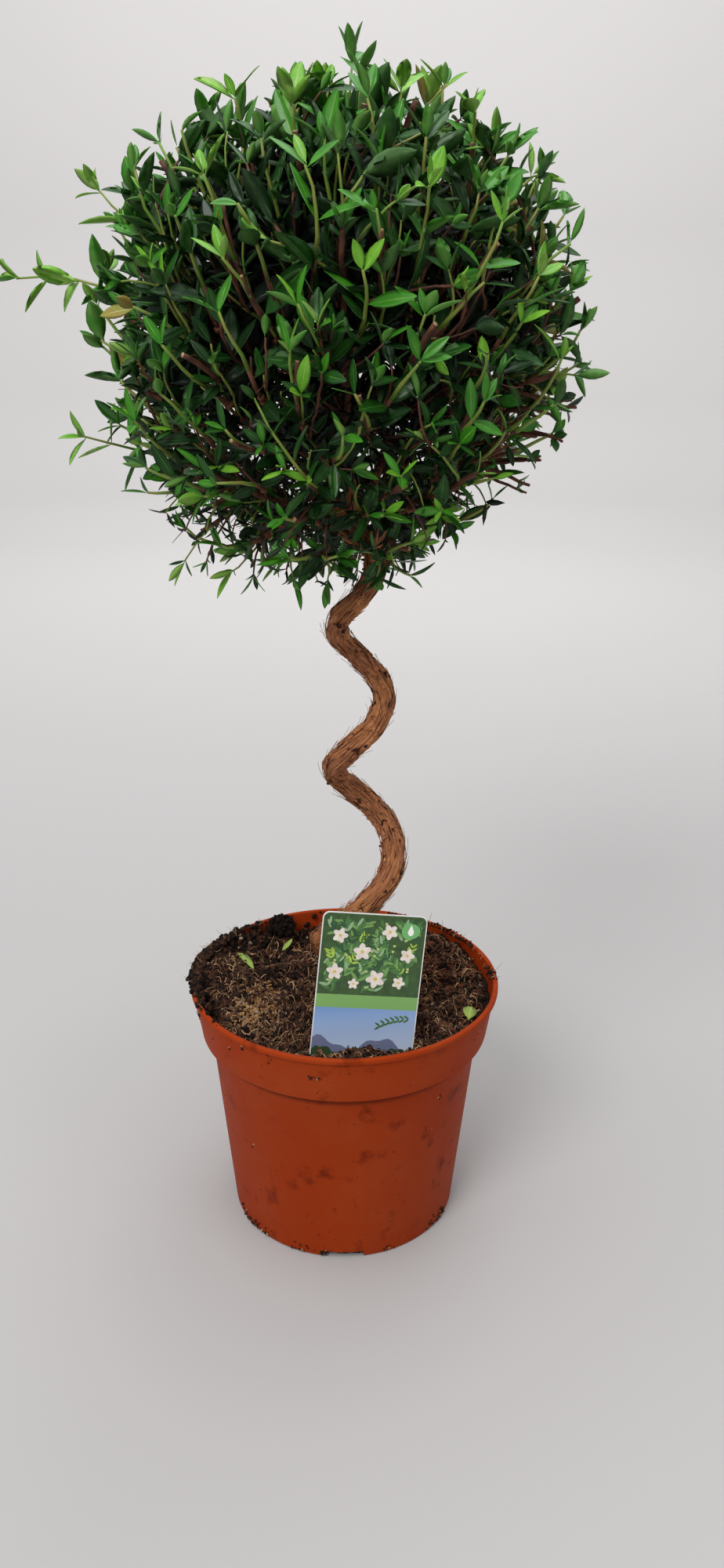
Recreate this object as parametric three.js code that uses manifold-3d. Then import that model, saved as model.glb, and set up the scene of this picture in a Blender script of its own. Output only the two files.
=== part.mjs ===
// A standard myrtle: a clipped ball of small glossy leaves on a stem wound like a corkscrew, in a plastic
// nursery pot filled with compost, with a plain plant label pushed in at the front. Millimetres, +Z up.
// The origin is the middle of the pot's underside, and -Y is the side that the label faces.

import * as THREE from "three";
import { mergeVertices } from "three/addons/utils/BufferGeometryUtils.js";
import Module from "manifold-3d";

const wasm = await Module();
wasm.setup();

const GAP = 0.3; // what touching pieces keep between them
const WELD = 0.05; // edges shorter than this are closed up in a mass
const TURN = Math.PI * 2;

// Pot: thin tapered wall, a wide band below the lip, a floor with a foot ring, and notches for the water.
const POT = {
  height: 139,
  lipRadius: 85,
  lipHeight: 3.2,
  lipProud: 1.7,
  bandHeight: 28,
  bandFootRadius: 79.6,
  shoulderRadius: 74.5,
  baseRadius: 63.6,
  wall: 1.3,
  floorUnder: 2.6,
  floorTop: 4.2,
  hubRadius: 20,
  footInnerRadius: 54,
  notches: 4,
  notchWidth: 24,
  notchHeight: 3.6,
  drainRadius: 4.5,
  drainRing: 40,
  drainSides: 8,
  segments: 40,
};

// Compost: a rough fill, heaped up to the lip at the left, high at the back right and low at the back left.
const SOIL = { level: 129, clearance: 0.4, rings: 6, seatRadius: 13, skirtDrop: 1 };
const SOIL_HEAPS = [
  { x: -75, y: 6, rise: 8.5, spread: 26 },
  { x: 55, y: 43, rise: 7, spread: 28 },
  { x: -28, y: 50, rise: -5.5, spread: 17 },
  { x: -38, y: 60, rise: 20, spread: 6.5 },
  { x: -46, y: -24, rise: 2.5, spread: 18 },
];

// Stem: a right-handed helix that leans a little to the left and winds tighter towards the top.
const STEM = {
  foot: 129.5,
  tip: 393,
  middle: 250, // the height that the next values belong to
  axisX: 8.5,
  leanPerMm: -0.031,
  axisY: -2.7,
  windingRadius: 14.8,
  windingShrinkPerMm: 0.047,
  phase: 2.29,
  pitch: 86.3,
  tightening: 1.24e-4, // radians per square millimetre
  footRadius: 6.8,
  tipRadius: 4.7,
  flare: 3.4,
  flareHeight: 9,
  kick: 4.5, // how far the foot stands to the left of the helix
  kickFrom: 160,
  kickTo: 188,
  steps: 54,
  sides: 8,
};

// Crown: a clipped ball, squarer in profile than a sphere, with its lower right sheared flat.
const CROWN = {
  heart: new THREE.Vector3(-1.5, 0, 469),
  radius: 110,
  halfHeight: 107,
  squareness: 2.35,
  flatDirection: new THREE.Vector3(0.7, 0, -0.71).normalize(),
  flatDistance: 93,
};

const FORK = new THREE.Vector3(3.5, 2.5, 380); // the boughs spread from here
const SPACE_GAP = 0.8; // free width between the spaces of two masses
const BOUGH = { reach: 38, startRadius: 2.5, endRadius: 1.9, steps: 4, sides: 6 };
const SHOOT = { stemRadius: 1.9, branchRadius: 1.25, twigRadius: 0.85, tipShare: 0.55 };
const LEAF = { length: 29, width: 11.5, thickness: 0.9, spread: 0.9 };
const BRANCHES = 30;
const TWIGS = 80;
const STEM_CLEARANCE = 3;

// Shoots that the shears missed: the way they point from the crown's heart, and how far past the ball.
const STRAYS = [
  { toward: [-0.985, -0.08, 0.17], past: 1.45 },
  { toward: [-0.93, -0.18, -0.33], past: 1.24 },
  { toward: [-0.85, 0.05, 0.48], past: 1.22 },
  { toward: [-0.58, -0.2, -0.76], past: 1.2 },
  { toward: [0.03, -0.1, 1], past: 1.14 },
  { toward: [0.95, -0.1, -0.12], past: 1.08 },
  { toward: [0.35, 0.88, 0.3], past: 1.14 },
  { toward: [-0.3, 0.9, -0.25], past: 1.12 },
];

// Label: a thin printed card that leans back, its lower end in the compost.
const LABEL = {
  width: 53,
  length: 100,
  thickness: 0.8,
  corner: 3.5,
  footX: 7,
  footY: -66.5,
  footZ: 103.5,
  leanBack: 0.15,
  tilt: 0.115,
  turn: 0.14,
  point: 12,
};

const COLOURS = {
  plastic: 0xa4451f,
  compost: 0x3b2a20,
  bark: 0x8a5a36,
  leaf: 0x2f6b2a,
  card: 0x7fa86a,
};

function finish(name, roughness) {
  return new THREE.MeshStandardMaterial({ color: COLOURS[name], roughness, metalness: 0 });
}

// A whole-number hash of its keys, as a share from 0 to 1: the same draw each time for the same keys.
function draw(...keys) {
  let h = 20029;
  for (const key of keys) {
    h = Math.imul(h ^ key, 2654435761) >>> 0;
    h = (h ^ (h >>> 15)) >>> 0;
  }
  return h / 4294967296;
}

function spread(low, high, ...keys) {
  return low + (high - low) * draw(...keys);
}

// A three.js geometry as a solid that can be joined and cut.
function solidOf(geometry) {
  const bare = new THREE.BufferGeometry().setAttribute("position", geometry.getAttribute("position").clone());
  bare.setIndex(geometry.index);
  const merged = mergeVertices(bare, 1e-4);
  return new wasm.Manifold(
    new wasm.Mesh({
      numProp: 3,
      vertProperties: new Float32Array(merged.attributes.position.array),
      triVerts: new Uint32Array(merged.index.array),
    }),
  );
}

// The largest body of a solid: loose scraps are dropped and sealed hollows are filled.
function wholeBody(solid) {
  return solid.decompose().reduce((best, body) => (body.volume() > best.volume() ? body : best));
}

function geometryOf(solid) {
  const mesh = solid.getMesh();
  const geometry = new THREE.BufferGeometry();
  const positions = new Float32Array(mesh.numVert * 3);
  for (let i = 0; i < mesh.numVert; i++) {
    positions.set(mesh.vertProperties.subarray(i * mesh.numProp, i * mesh.numProp + 3), i * 3);
  }
  geometry.setAttribute("position", new THREE.BufferAttribute(positions, 3));
  geometry.setIndex(new THREE.BufferAttribute(new Uint32Array(mesh.triVerts), 1));
  return geometry;
}

// Corners and faces given as plain lists become a geometry.
function facetedGeometry(corners, faces) {
  const geometry = new THREE.BufferGeometry();
  const positions = corners.flatMap((p) => [p.x, p.y, p.z]);
  geometry.setAttribute("position", new THREE.Float32BufferAttribute(positions, 3));
  geometry.setIndex(faces.flat());
  return geometry;
}

// Rings of corners, from first to last, become one closed skin with a fan over each end.
function ringSkin(rings, firstCentre, lastCentre) {
  const sides = rings[0].length;
  const corners = [...rings.flat(), firstCentre, lastCentre];
  const first = corners.length - 2;
  const last = corners.length - 1;
  const top = (rings.length - 1) * sides;
  const faces = [];
  for (let k = 0; k < sides; k++) {
    const next = (k + 1) % sides;
    for (let r = 0; r + 1 < rings.length; r++) {
      const low = r * sides;
      const high = low + sides;
      faces.push([low + k, low + next, high + next], [low + k, high + next, high + k]);
    }
    faces.push([first, next, k], [last, top + k, top + next]);
  }
  return facetedGeometry(corners, faces);
}

// A round limb along a curve. radiusAt takes the share of the way along, from 0 to 1.
function limbGeometry(curve, radiusAt, steps, sides) {
  const frames = curve.computeFrenetFrames(steps, false);
  const rings = [];
  for (let i = 0; i <= steps; i++) {
    const centre = curve.getPoint(i / steps);
    const ring = [];
    for (let k = 0; k < sides; k++) {
      const angle = (k / sides) * TURN;
      const r = radiusAt(i / steps, angle);
      ring.push(
        centre
          .clone()
          .addScaledVector(frames.normals[i], r * Math.cos(angle))
          .addScaledVector(frames.binormals[i], r * Math.sin(angle)),
      );
    }
    rings.push(ring);
  }
  return ringSkin(rings, curve.getPoint(0), curve.getPoint(1));
}

// A solid turned about Z from a profile of [radius, height] that starts and ends on the axis.
function turnedSolid(profile, segments) {
  const points = profile.map(([radius, height]) => new THREE.Vector2(radius, height));
  return solidOf(new THREE.LatheGeometry(points, segments).rotateX(Math.PI / 2));
}

function boxSolid(size, centre, turn) {
  return solidOf(new THREE.BoxGeometry(...size).translate(...centre).rotateZ(turn));
}

// The stem's centre line at a height.
function stemPoint(height) {
  const up = height - STEM.middle;
  const angle = STEM.phase + (TURN * up) / STEM.pitch + STEM.tightening * up * up;
  const winding = STEM.windingRadius - STEM.windingShrinkPerMm * up;
  const kick = STEM.kick * (1 - THREE.MathUtils.smoothstep(height, STEM.kickFrom, STEM.kickTo));
  return new THREE.Vector3(
    STEM.axisX + STEM.leanPerMm * up - kick + winding * Math.cos(angle),
    STEM.axisY + winding * Math.sin(angle),
    height,
  );
}

class StemCurve extends THREE.Curve {
  getPoint(share) {
    const buried = 6; // starts below ground, and is cut flat there
    return stemPoint(STEM.foot - buried + share * (STEM.tip - STEM.foot + buried));
  }
}

function stemRadius(share, angle) {
  const height = share * (STEM.tip - STEM.foot);
  const round = THREE.MathUtils.lerp(STEM.footRadius, STEM.tipRadius, share);
  const flare = STEM.flare * Math.exp(-height / STEM.flareHeight);
  return round + flare * (1 + 0.25 * Math.cos(3 * angle));
}

function stemSolid(extra) {
  const curve = new StemCurve();
  const grown = (share, angle) => stemRadius(share, angle) + extra;
  const whole = solidOf(limbGeometry(curve, grown, STEM.steps, STEM.sides));
  return whole.trimByPlane([0, 0, 1], STEM.foot);
}

function potSolid() {
  const p = POT;
  const bandFoot = p.height - p.bandHeight;
  const lipFoot = p.height - p.lipHeight;
  const bandTopRadius = p.lipRadius - p.lipProud;
  const outside = [
    [0, 0],
    [p.hubRadius, 0],
    [p.hubRadius + 1.5, p.floorUnder],
    [p.footInnerRadius, p.floorUnder],
    [p.footInnerRadius + 1.5, 0],
    [p.baseRadius - 1, 0],
    [p.baseRadius, 1],
    [p.shoulderRadius, bandFoot - 0.6],
    [p.bandFootRadius - 0.4, bandFoot],
    [p.bandFootRadius, bandFoot + 0.8],
    [bandTopRadius, lipFoot],
    [p.lipRadius, lipFoot + 0.5],
    [p.lipRadius, p.height - 0.8],
    [p.lipRadius - 0.8, p.height],
  ];
  const inside = [
    [p.lipRadius - 2.2, p.height],
    [bandTopRadius - p.wall, lipFoot],
    [p.bandFootRadius - p.wall, bandFoot + 1.6],
    [p.shoulderRadius - p.wall, bandFoot - 1.4],
    [p.baseRadius - p.wall, p.floorTop + 1.5],
    [p.baseRadius - p.wall - 1.5, p.floorTop],
    [0, p.floorTop],
  ];
  let pot = turnedSolid([...outside, ...inside], p.segments);
  const footMiddle = (p.footInnerRadius + p.baseRadius) / 2;
  for (let i = 0; i < p.notches; i++) {
    const turn = (i / p.notches) * TURN;
    const notch = boxSolid([p.notchWidth, 18, 2 * p.notchHeight], [0, -footMiddle - 3, 0], turn);
    const drain = solidOf(
      new THREE.CylinderGeometry(p.drainRadius, p.drainRadius, 12, p.drainSides)
        .rotateX(Math.PI / 2)
        .translate(0, -p.drainRing, p.floorTop)
        .rotateZ(turn),
    );
    pot = pot.subtract(notch).subtract(drain);
  }
  return wholeBody(pot);
}

// Radius of the pot's inside at a height, for what fills it.
function potInside(height) {
  const p = POT;
  const bandFoot = p.height - p.bandHeight;
  if (height > bandFoot + 1.6) {
    const share = (height - bandFoot - 1.6) / (p.bandHeight - p.lipHeight - 1.6);
    return THREE.MathUtils.lerp(p.bandFootRadius, p.lipRadius - p.lipProud, share) - p.wall;
  }
  const share = (height - p.floorTop - 1.5) / (bandFoot - 1.4 - p.floorTop - 1.5);
  return THREE.MathUtils.lerp(p.baseRadius, p.shoulderRadius, share) - p.wall;
}

// Height of the compost's surface: slow swells, with the heaps and the hollow.
function soilHeight(x, y) {
  const swell = 1.1 * Math.sin(x * 0.09 + 1) * Math.cos(y * 0.08) + 0.8 * Math.sin(x * 0.21 - y * 0.17);
  const rises = SOIL_HEAPS.map((heap) => {
    const away = Math.hypot(x - heap.x, y - heap.y) / heap.spread;
    return heap.rise * Math.exp(-away * away);
  });
  return rises.reduce((sum, rise) => sum + rise, SOIL.level + swell);
}

function soilTop(x, y) {
  const foot = stemPoint(STEM.foot);
  const away = Math.hypot(x - foot.x, y - foot.y);
  const share = THREE.MathUtils.smoothstep(away, SOIL.seatRadius, SOIL.seatRadius + 14);
  return THREE.MathUtils.lerp(STEM.foot - GAP, soilHeight(x, y), share);
}

function soilSolid() {
  const ringAt = (radius, heightAt) =>
    Array.from({ length: POT.segments }, (_, k) => {
      const angle = (k / POT.segments) * TURN;
      const x = radius * Math.cos(angle);
      const y = radius * Math.sin(angle);
      return new THREE.Vector3(x, y, heightAt(x, y));
    });
  const bandFoot = POT.height - POT.bandHeight;
  const under = POT.floorTop + GAP;
  const wallHeights = [under + 2, bandFoot - 1.4, bandFoot + 2.2];
  const edge = potInside(SOIL.level - 6) - SOIL.clearance;
  const rings = [
    ringAt(potInside(under + 2) - 3, () => under),
    ...wallHeights.map((h) => ringAt(potInside(h) - SOIL.clearance, () => h)),
  ];
  for (let r = 0; r < SOIL.rings; r++) {
    const radius = edge * (1 - r / SOIL.rings);
    rings.push(ringAt(radius, (x, y) => soilTop(x, y) - (r === 0 ? SOIL.skirtDrop : 0)));
  }
  const middle = new THREE.Vector3(0, 0, soilTop(0, 0));
  const fill = solidOf(ringSkin(rings, new THREE.Vector3(0, 0, under), middle));
  const foot = stemPoint(STEM.foot);
  const seat = new THREE.CylinderGeometry(SOIL.seatRadius, SOIL.seatRadius, 20, 16);
  seat.rotateX(Math.PI / 2).translate(foot.x, foot.y, STEM.foot - GAP + 10);
  return fill.subtract(solidOf(seat)).subtract(labelSolid(GAP));
}

// The label's card with round upper corners and a pointed lower end, grown by extra on every side.
function labelSolid(extra) {
  const half = LABEL.width / 2 + extra;
  const top = LABEL.length + extra;
  const corner = LABEL.corner;
  const outline = new THREE.Shape();
  outline.moveTo(0, -extra);
  outline.lineTo(half, LABEL.point);
  outline.lineTo(half, top - corner);
  outline.absarc(half - corner, top - corner, corner, 0, Math.PI / 2, false);
  outline.lineTo(-half + corner, top);
  outline.absarc(-half + corner, top - corner, corner, Math.PI / 2, Math.PI, false);
  outline.lineTo(-half, LABEL.point);
  outline.closePath();
  const depth = LABEL.thickness + 2 * extra;
  const card = new THREE.ExtrudeGeometry(outline, { depth, bevelEnabled: false, curveSegments: 4 });
  card.translate(0, 0, -depth / 2);
  card.rotateZ(-LABEL.tilt).rotateX(Math.PI / 2 - LABEL.leanBack).rotateZ(LABEL.turn);
  card.translate(LABEL.footX, LABEL.footY, LABEL.footZ);
  return solidOf(card);
}

// How far the clipped ball reaches from its heart in a direction.
function clipReach(direction) {
  const flat = Math.hypot(direction.x, direction.y) / CROWN.radius;
  const tall = Math.abs(direction.z) / CROWN.halfHeight;
  const ball = (flat ** CROWN.squareness + tall ** CROWN.squareness) ** (-1 / CROWN.squareness);
  const facing = direction.dot(CROWN.flatDirection);
  return facing > 0 ? Math.min(ball, CROWN.flatDistance / facing) : ball;
}

// The k-th of a row of directions that covers the sphere evenly however many are taken.
function evenDirection(k) {
  const high = 1 - 2 * ((0.5 + k * 0.7548776662) % 1);
  const angle = ((0.5 + k * 0.569840291) % 1) * TURN;
  const flat = Math.sqrt(1 - high * high);
  return new THREE.Vector3(flat * Math.cos(angle), flat * Math.sin(angle), high);
}

// Eleven masses: one at the top, five round the upper half and five round the lower half.
function massAims() {
  const aims = [{ name: "top", direction: new THREE.Vector3(0, 0, 1) }];
  const rings = [
    { name: "upper", high: 0.447, start: -90, height: 380 },
    { name: "lower", high: -0.43, start: -54, height: 365 },
  ];
  for (const ring of rings) {
    for (let i = 0; i < 5; i++) {
      const angle = THREE.MathUtils.degToRad(ring.start + 72 * i);
      const flat = Math.sqrt(1 - ring.high ** 2);
      const direction = new THREE.Vector3(flat * Math.cos(angle), flat * Math.sin(angle), ring.high);
      aims.push({ name: `${ring.name}_${i + 1}`, direction, height: ring.height + 2 * i });
    }
  }
  return aims.map((aim) => {
    const end = CROWN.heart.clone().addScaledVector(aim.direction, clipReach(aim.direction));
    const axis = end.clone().sub(FORK).normalize();
    return { ...aim, end, axis, tip: FORK.clone().addScaledVector(axis, BOUGH.reach) };
  });
}

const MASSES = massAims();

// How deep a point lies inside the space of a mass: the spaces are cones that meet at the fork.
function depthInSpace(mass, point) {
  const away = point.clone().sub(FORK);
  let least = away.dot(mass.axis) - BOUGH.reach - 2;
  for (const other of MASSES) {
    if (other === mass) continue;
    const across = mass.axis.clone().sub(other.axis).normalize();
    least = Math.min(least, away.dot(across) - SPACE_GAP / 2);
  }
  return least;
}

function ownerOf(point) {
  const away = point.clone().sub(FORK);
  return MASSES.reduce((best, mass) => (away.dot(mass.axis) > away.dot(best.axis) ? mass : best));
}

function nearStem(point) {
  if (point.z > STEM.tip + 12) return false;
  const centre = stemPoint(Math.min(point.z, STEM.tip));
  return Math.hypot(point.x - centre.x, point.y - centre.y) < STEM.footRadius + STEM_CLEARANCE;
}

// Boughs start at the stem's middle and bend over to run along their mass's axis.
function boughCurve(mass) {
  const start = mass.height ? stemPoint(mass.height) : new THREE.Vector3().copy(stemPoint(STEM.tip));
  const bend = mass.tip.clone().addScaledVector(mass.axis, -BOUGH.reach * 0.45);
  return new THREE.QuadraticBezierCurve3(start, bend, mass.tip.clone().addScaledVector(mass.axis, -GAP));
}

function boughSolid(mass, extra) {
  const radiusAt = (share) => THREE.MathUtils.lerp(BOUGH.startRadius, BOUGH.endRadius, share) + extra;
  return solidOf(limbGeometry(boughCurve(mass), radiusAt, BOUGH.steps, BOUGH.sides));
}

// A shoot from its joint to its aim: it leaves along its parent and then turns up to the light.
function shootCurve(joint, heading, aim) {
  const length = joint.distanceTo(aim);
  const bend = joint.clone().lerp(aim, 0.45).addScaledVector(heading, 0.22 * length);
  bend.z -= 0.05 * length;
  return new THREE.QuadraticBezierCurve3(joint, bend, aim);
}

// The place on a mass's limbs that a new shoot starts from: the one nearest to a point inward of its aim.
function bestJoint(limbs, aim, inward) {
  const wanted = aim.clone().lerp(CROWN.heart.clone().lerp(FORK, 0.35), inward);
  let best = null;
  for (const limb of limbs) {
    for (let share = 0.1; share < 0.95; share += 0.1) {
      const place = limb.curve.getPoint(share);
      const away = place.distanceTo(wanted);
      if (!best || away < best.away) {
        best = { away, place, heading: limb.curve.getTangent(share), limb, share };
      }
    }
  }
  return best;
}

function shootRadius(limb) {
  return (share) => limb.radius * THREE.MathUtils.lerp(1, SHOOT.tipShare, share);
}

// Shoots of one order, each owned by the mass whose space its aim lies in.
function growOrder(grown, count, firstKey, reach, radius, inward) {
  for (let k = 0; k < count; k++) {
    const direction = evenDirection(firstKey + k);
    const far = clipReach(direction) * reach * spread(0.94, 1.02, firstKey + k, 1);
    addShoot(grown, CROWN.heart.clone().addScaledVector(direction, far), radius, inward, firstKey + k);
  }
}

function addShoot(grown, aim, radius, inward, key) {
  if (nearStem(aim)) return;
  const mass = ownerOf(aim);
  if (depthInSpace(mass, aim) < radius + 1.5) return;
  const limbs = grown.get(mass);
  const joint = bestJoint(limbs, aim, inward);
  const curve = shootCurve(joint.place, joint.heading, aim);
  const bend = curve.v1;
  const clear = [0.25, 0.5, 0.75].every((share) => {
    const place = curve.getPoint(share);
    return depthInSpace(mass, place) > radius + 0.5 && !nearStem(place);
  });
  if (clear && depthInSpace(mass, bend) > 0) limbs.push({ curve, radius, key, leafy: true });
}

// The eight-faced leaf: root, tip, two edges and a low ridge on each side.
function leafCorners(root, along, across, size) {
  const face = across.clone().cross(along).normalize();
  const at = (forward, sideways, out) =>
    root
      .clone()
      .addScaledVector(along, forward * LEAF.length * size)
      .addScaledVector(across, sideways * LEAF.width * size)
      .addScaledVector(face, out);
  const half = LEAF.thickness / 2;
  const edges = [at(0.48, -0.5, 0.8), at(0.48, 0.5, 0.8)];
  return [at(0, 0, 0), at(1, 0, -1.5), ...edges, at(0.48, 0, half), at(0.48, 0, -half)];
}

function leafSolid(corners) {
  const [root, tip, left, right, over, under] = [0, 1, 2, 3, 4, 5];
  const faces = [
    [root, right, over],
    [root, over, left],
    [tip, over, right],
    [tip, left, over],
    [root, under, right],
    [root, left, under],
    [tip, right, under],
    [tip, under, left],
  ];
  return solidOf(facetedGeometry(corners, faces));
}

// A leaf is tried whole and then smaller and turned in, and skipped if it still leaves its mass's space.
function fittedLeaf(mass, root, along, across) {
  for (const size of [1, 0.8, 0.62]) {
    const turned = along.clone().lerp(mass.axis, 1 - size).normalize();
    const level = across.clone().addScaledVector(turned, -across.dot(turned)).normalize();
    const corners = leafCorners(root, turned, level, size);
    if (corners.every((p) => depthInSpace(mass, p) > 0 && !nearStem(p))) return leafSolid(corners);
  }
  return null;
}

// Opposite pairs of leaves up the outer part of a shoot, each a quarter turn on, and one leaf at the tip.
function leavesOn(mass, limb, pairs, from) {
  const leaves = [];
  for (let pair = 0; pair < pairs; pair++) {
    const share = THREE.MathUtils.lerp(from, 0.97, pairs === 1 ? 1 : pair / (pairs - 1));
    const heading = limb.curve.getTangent(share);
    const level = new THREE.Vector3(0, 0, 1).cross(heading).normalize();
    const turn = pair * (Math.PI / 2) + spread(0.2, 1.2, limb.key, pair, 2);
    for (const side of [0, 1]) {
      const root = limb.curve.getPoint(share - 0.03 * side);
      const out = level.clone().applyAxisAngle(heading, turn + side * (Math.PI - 0.2));
      const along = heading.clone().multiplyScalar(Math.cos(LEAF.spread));
      along.addScaledVector(out, Math.sin(LEAF.spread));
      along.z += spread(0, 0.25, limb.key, pair, 3);
      along.normalize();
      const across = heading.clone().cross(out);
      const leaf = fittedLeaf(mass, root, along, across);
      if (leaf) leaves.push(leaf);
    }
  }
  return leaves;
}

// A low core inside each mass, round its stem, that the shoots stand out of.
function coreSolid(mass) {
  const length = mass.end.distanceTo(FORK);
  const centre = FORK.clone().addScaledVector(mass.axis, length * 0.6);
  const radius = Math.min(26, Math.max(6, depthInSpace(mass, centre) * 0.85));
  return solidOf(new THREE.IcosahedronGeometry(radius, 1).translate(centre.x, centre.y, centre.z));
}

function growCrown() {
  const grown = new Map();
  for (const mass of MASSES) {
    const end = mass.tip.clone().lerp(mass.end, 0.9);
    const curve = new THREE.LineCurve3(mass.tip.clone(), end);
    grown.set(mass, [{ curve, radius: SHOOT.stemRadius, key: MASSES.indexOf(mass), leafy: false }]);
  }
  growOrder(grown, BRANCHES, 100, 0.8, SHOOT.branchRadius, 0.4);
  growOrder(grown, TWIGS, 1000, 0.93, SHOOT.twigRadius, 0.2);
  STRAYS.forEach((stray, i) => {
    const direction = new THREE.Vector3(...stray.toward).normalize();
    const far = clipReach(direction) * stray.past - 12;
    addShoot(grown, CROWN.heart.clone().addScaledVector(direction, far), SHOOT.twigRadius, 0.45, 9000 + i);
  });
  return grown;
}

function massSolid(mass, limbs) {
  const pieces = [coreSolid(mass)];
  for (const limb of limbs) {
    const steps = limb.leafy ? 2 : 1;
    const sides = limb.leafy ? 3 : 6;
    pieces.push(solidOf(limbGeometry(limb.curve, shootRadius(limb), steps, sides)));
    if (limb.leafy) pieces.push(...leavesOn(mass, limb, 1, 0.9));
  }
  return wholeBody(wasm.Manifold.union(pieces).simplify(WELD));
}

const plant = new THREE.Group();

function addNode(name, solid, material) {
  const mesh = new THREE.Mesh(geometryOf(solid), material);
  mesh.name = name;
  plant.add(mesh);
}

const bark = finish("bark", 0.85);
const foliage = finish("leaf", 0.45);
addNode("pot", potSolid(), finish("plastic", 0.5));
addNode("compost", soilSolid(), finish("compost", 0.95));
addNode("label", labelSolid(0), finish("card", 0.35));
addNode("trunk", stemSolid(0), bark);

// Each bough is cut clear of the stem and of the boughs before it.
let taken = stemSolid(GAP);
const crown = growCrown();
for (const mass of MASSES) {
  addNode(`bough_${mass.name}`, wholeBody(boughSolid(mass, 0).subtract(taken)), bark);
  addNode(`foliage_${mass.name}`, massSolid(mass, crown.get(mass)), foliage);
  taken = taken.add(boughSolid(mass, GAP));
}

export default plant;
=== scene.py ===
import math

import bpy
import numpy as np
from mathutils import Matrix, Vector, noise


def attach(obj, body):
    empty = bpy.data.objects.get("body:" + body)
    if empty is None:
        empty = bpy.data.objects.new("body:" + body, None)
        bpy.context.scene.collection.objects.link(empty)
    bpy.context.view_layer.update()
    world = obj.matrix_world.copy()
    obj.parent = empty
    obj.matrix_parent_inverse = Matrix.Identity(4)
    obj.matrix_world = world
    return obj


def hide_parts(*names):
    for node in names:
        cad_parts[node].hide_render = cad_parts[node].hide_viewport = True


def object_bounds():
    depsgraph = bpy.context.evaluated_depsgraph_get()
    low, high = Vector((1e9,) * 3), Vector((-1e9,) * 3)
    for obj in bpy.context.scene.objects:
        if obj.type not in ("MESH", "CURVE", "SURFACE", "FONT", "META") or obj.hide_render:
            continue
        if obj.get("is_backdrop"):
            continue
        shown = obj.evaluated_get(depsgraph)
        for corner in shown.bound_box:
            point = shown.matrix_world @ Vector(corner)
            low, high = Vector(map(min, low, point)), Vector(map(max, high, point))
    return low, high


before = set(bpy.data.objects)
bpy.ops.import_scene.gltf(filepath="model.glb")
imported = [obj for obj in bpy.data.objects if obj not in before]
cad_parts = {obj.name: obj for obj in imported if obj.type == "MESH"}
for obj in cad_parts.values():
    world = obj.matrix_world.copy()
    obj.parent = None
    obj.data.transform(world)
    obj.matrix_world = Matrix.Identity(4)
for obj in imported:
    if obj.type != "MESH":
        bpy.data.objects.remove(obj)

CAD_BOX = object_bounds()
MM = 0.001
TURN = 2 * math.pi
UP = np.array([0.0, 0.0, 1.0])
BODY = "root"

# Sizes are in millimetres. The pot's underside is at height 0 and its axis at x = y = 0.
POT = dict(
    height=139, lip_radius=85, lip_height=3.2, lip_proud=1.7, band_height=28, band_foot=79.6, shoulder=74.5,
    base=63.6, wall=1.3, floor_under=2.6, floor_top=4.2, hub=20, foot_inner=54, notches=4, notch_width=24,
    notch_height=3.6, drain_radius=4.5, drain_ring=40,
)
LIP_FOOT = POT["height"] - POT["lip_height"]
BAND_FOOT = POT["height"] - POT["band_height"]

SOIL_LEVEL = 129
# Where the surface meets the wall, how far out loose crumbs lie, the middle of the rim, and how far apart
# the clods are.
SOIL_WALL = 79
SOIL_EDGE = 78.5
RIM_MIDDLE = 82
CLOD_SPACING = 11
# Heaps and hollows of the compost: place, rise and spread.
SOIL_HEAPS = [
    (-75, 6, 8.5, 26), (55, 43, 7, 28), (-28, 50, -5.5, 17), (-38, 60, 7, 6.5), (-46, -24, 2.5, 18),
]

STEM = dict(
    foot=129.5, tip=393, middle=250, axis_x=8.5, lean=-0.031, axis_y=-2.7, winding=14.8, shrink=0.047,
    phase=2.29, pitch=86.3, tightening=1.24e-4, foot_radius=6.8, tip_radius=4.7, flare=3.4, flare_height=9,
    kick=4.5, kick_from=160, kick_to=188,
)
STEM_CLEARANCE = 3
# How far the stem carries on under the compost.
BURIED = 14
# Old knots of the stem: share of the way up, and angle.
KNOTS = [
    (0.1, 0.8), (0.24, 3.9), (0.33, 2.2), (0.42, 5.4), (0.55, 1.2), (0.63, 4.4), (0.78, 0.3), (0.9, 3.0),
]
# Scars where side shoots were rubbed off: height, and how far round from the front.
SCARS = [
    (342, 0.1), (307, 0.8), (295, -0.7), (279, 0.3), (259, -0.4), (241, -0.3), (227, 0.2), (208, 0.9),
    (184, -0.2), (318, 2.6), (252, 2.9), (196, 3.4), (160, 0.3), (153, 2.4), (365, -1.8), (219, -2.0),
]

# The crown is a ball drawn a little square about its heart, with a flat cut below at the right. The boughs
# spread from the fork, and the masses keep a gap between them.
HEART = np.array([-1.5, 0.0, 469.0])
CROWN_RADIUS = 110
CROWN_HALF_HEIGHT = 107
SQUARENESS = 2.35
FLAT_DIRECTION = np.array([0.7, 0, -0.71]) / np.linalg.norm([0.7, 0, -0.71])
FLAT_DISTANCE = 93
FORK = np.array([3.5, 2.5, 380.0])
SPACE_GAP = 0.8
BOUGH = dict(reach=38, start_radius=2.5, end_radius=1.9)
TIP_SHARE = 0.55
SEED = 20029
# The hash's multiplier and the size of its whole numbers, and the steps that fill a ball evenly.
HASH_STEP = 2654435761
HASH_SIZE = 2**32
EVEN_STEPS = (0.7548776662, 0.569840291)
# What a draw by hash is for: each purpose has its own last key.
USE = dict(reach=1, turn=2, gap=20, growth=21, length=22, tip=23, fading=24, shade=25, brown=31)
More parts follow.
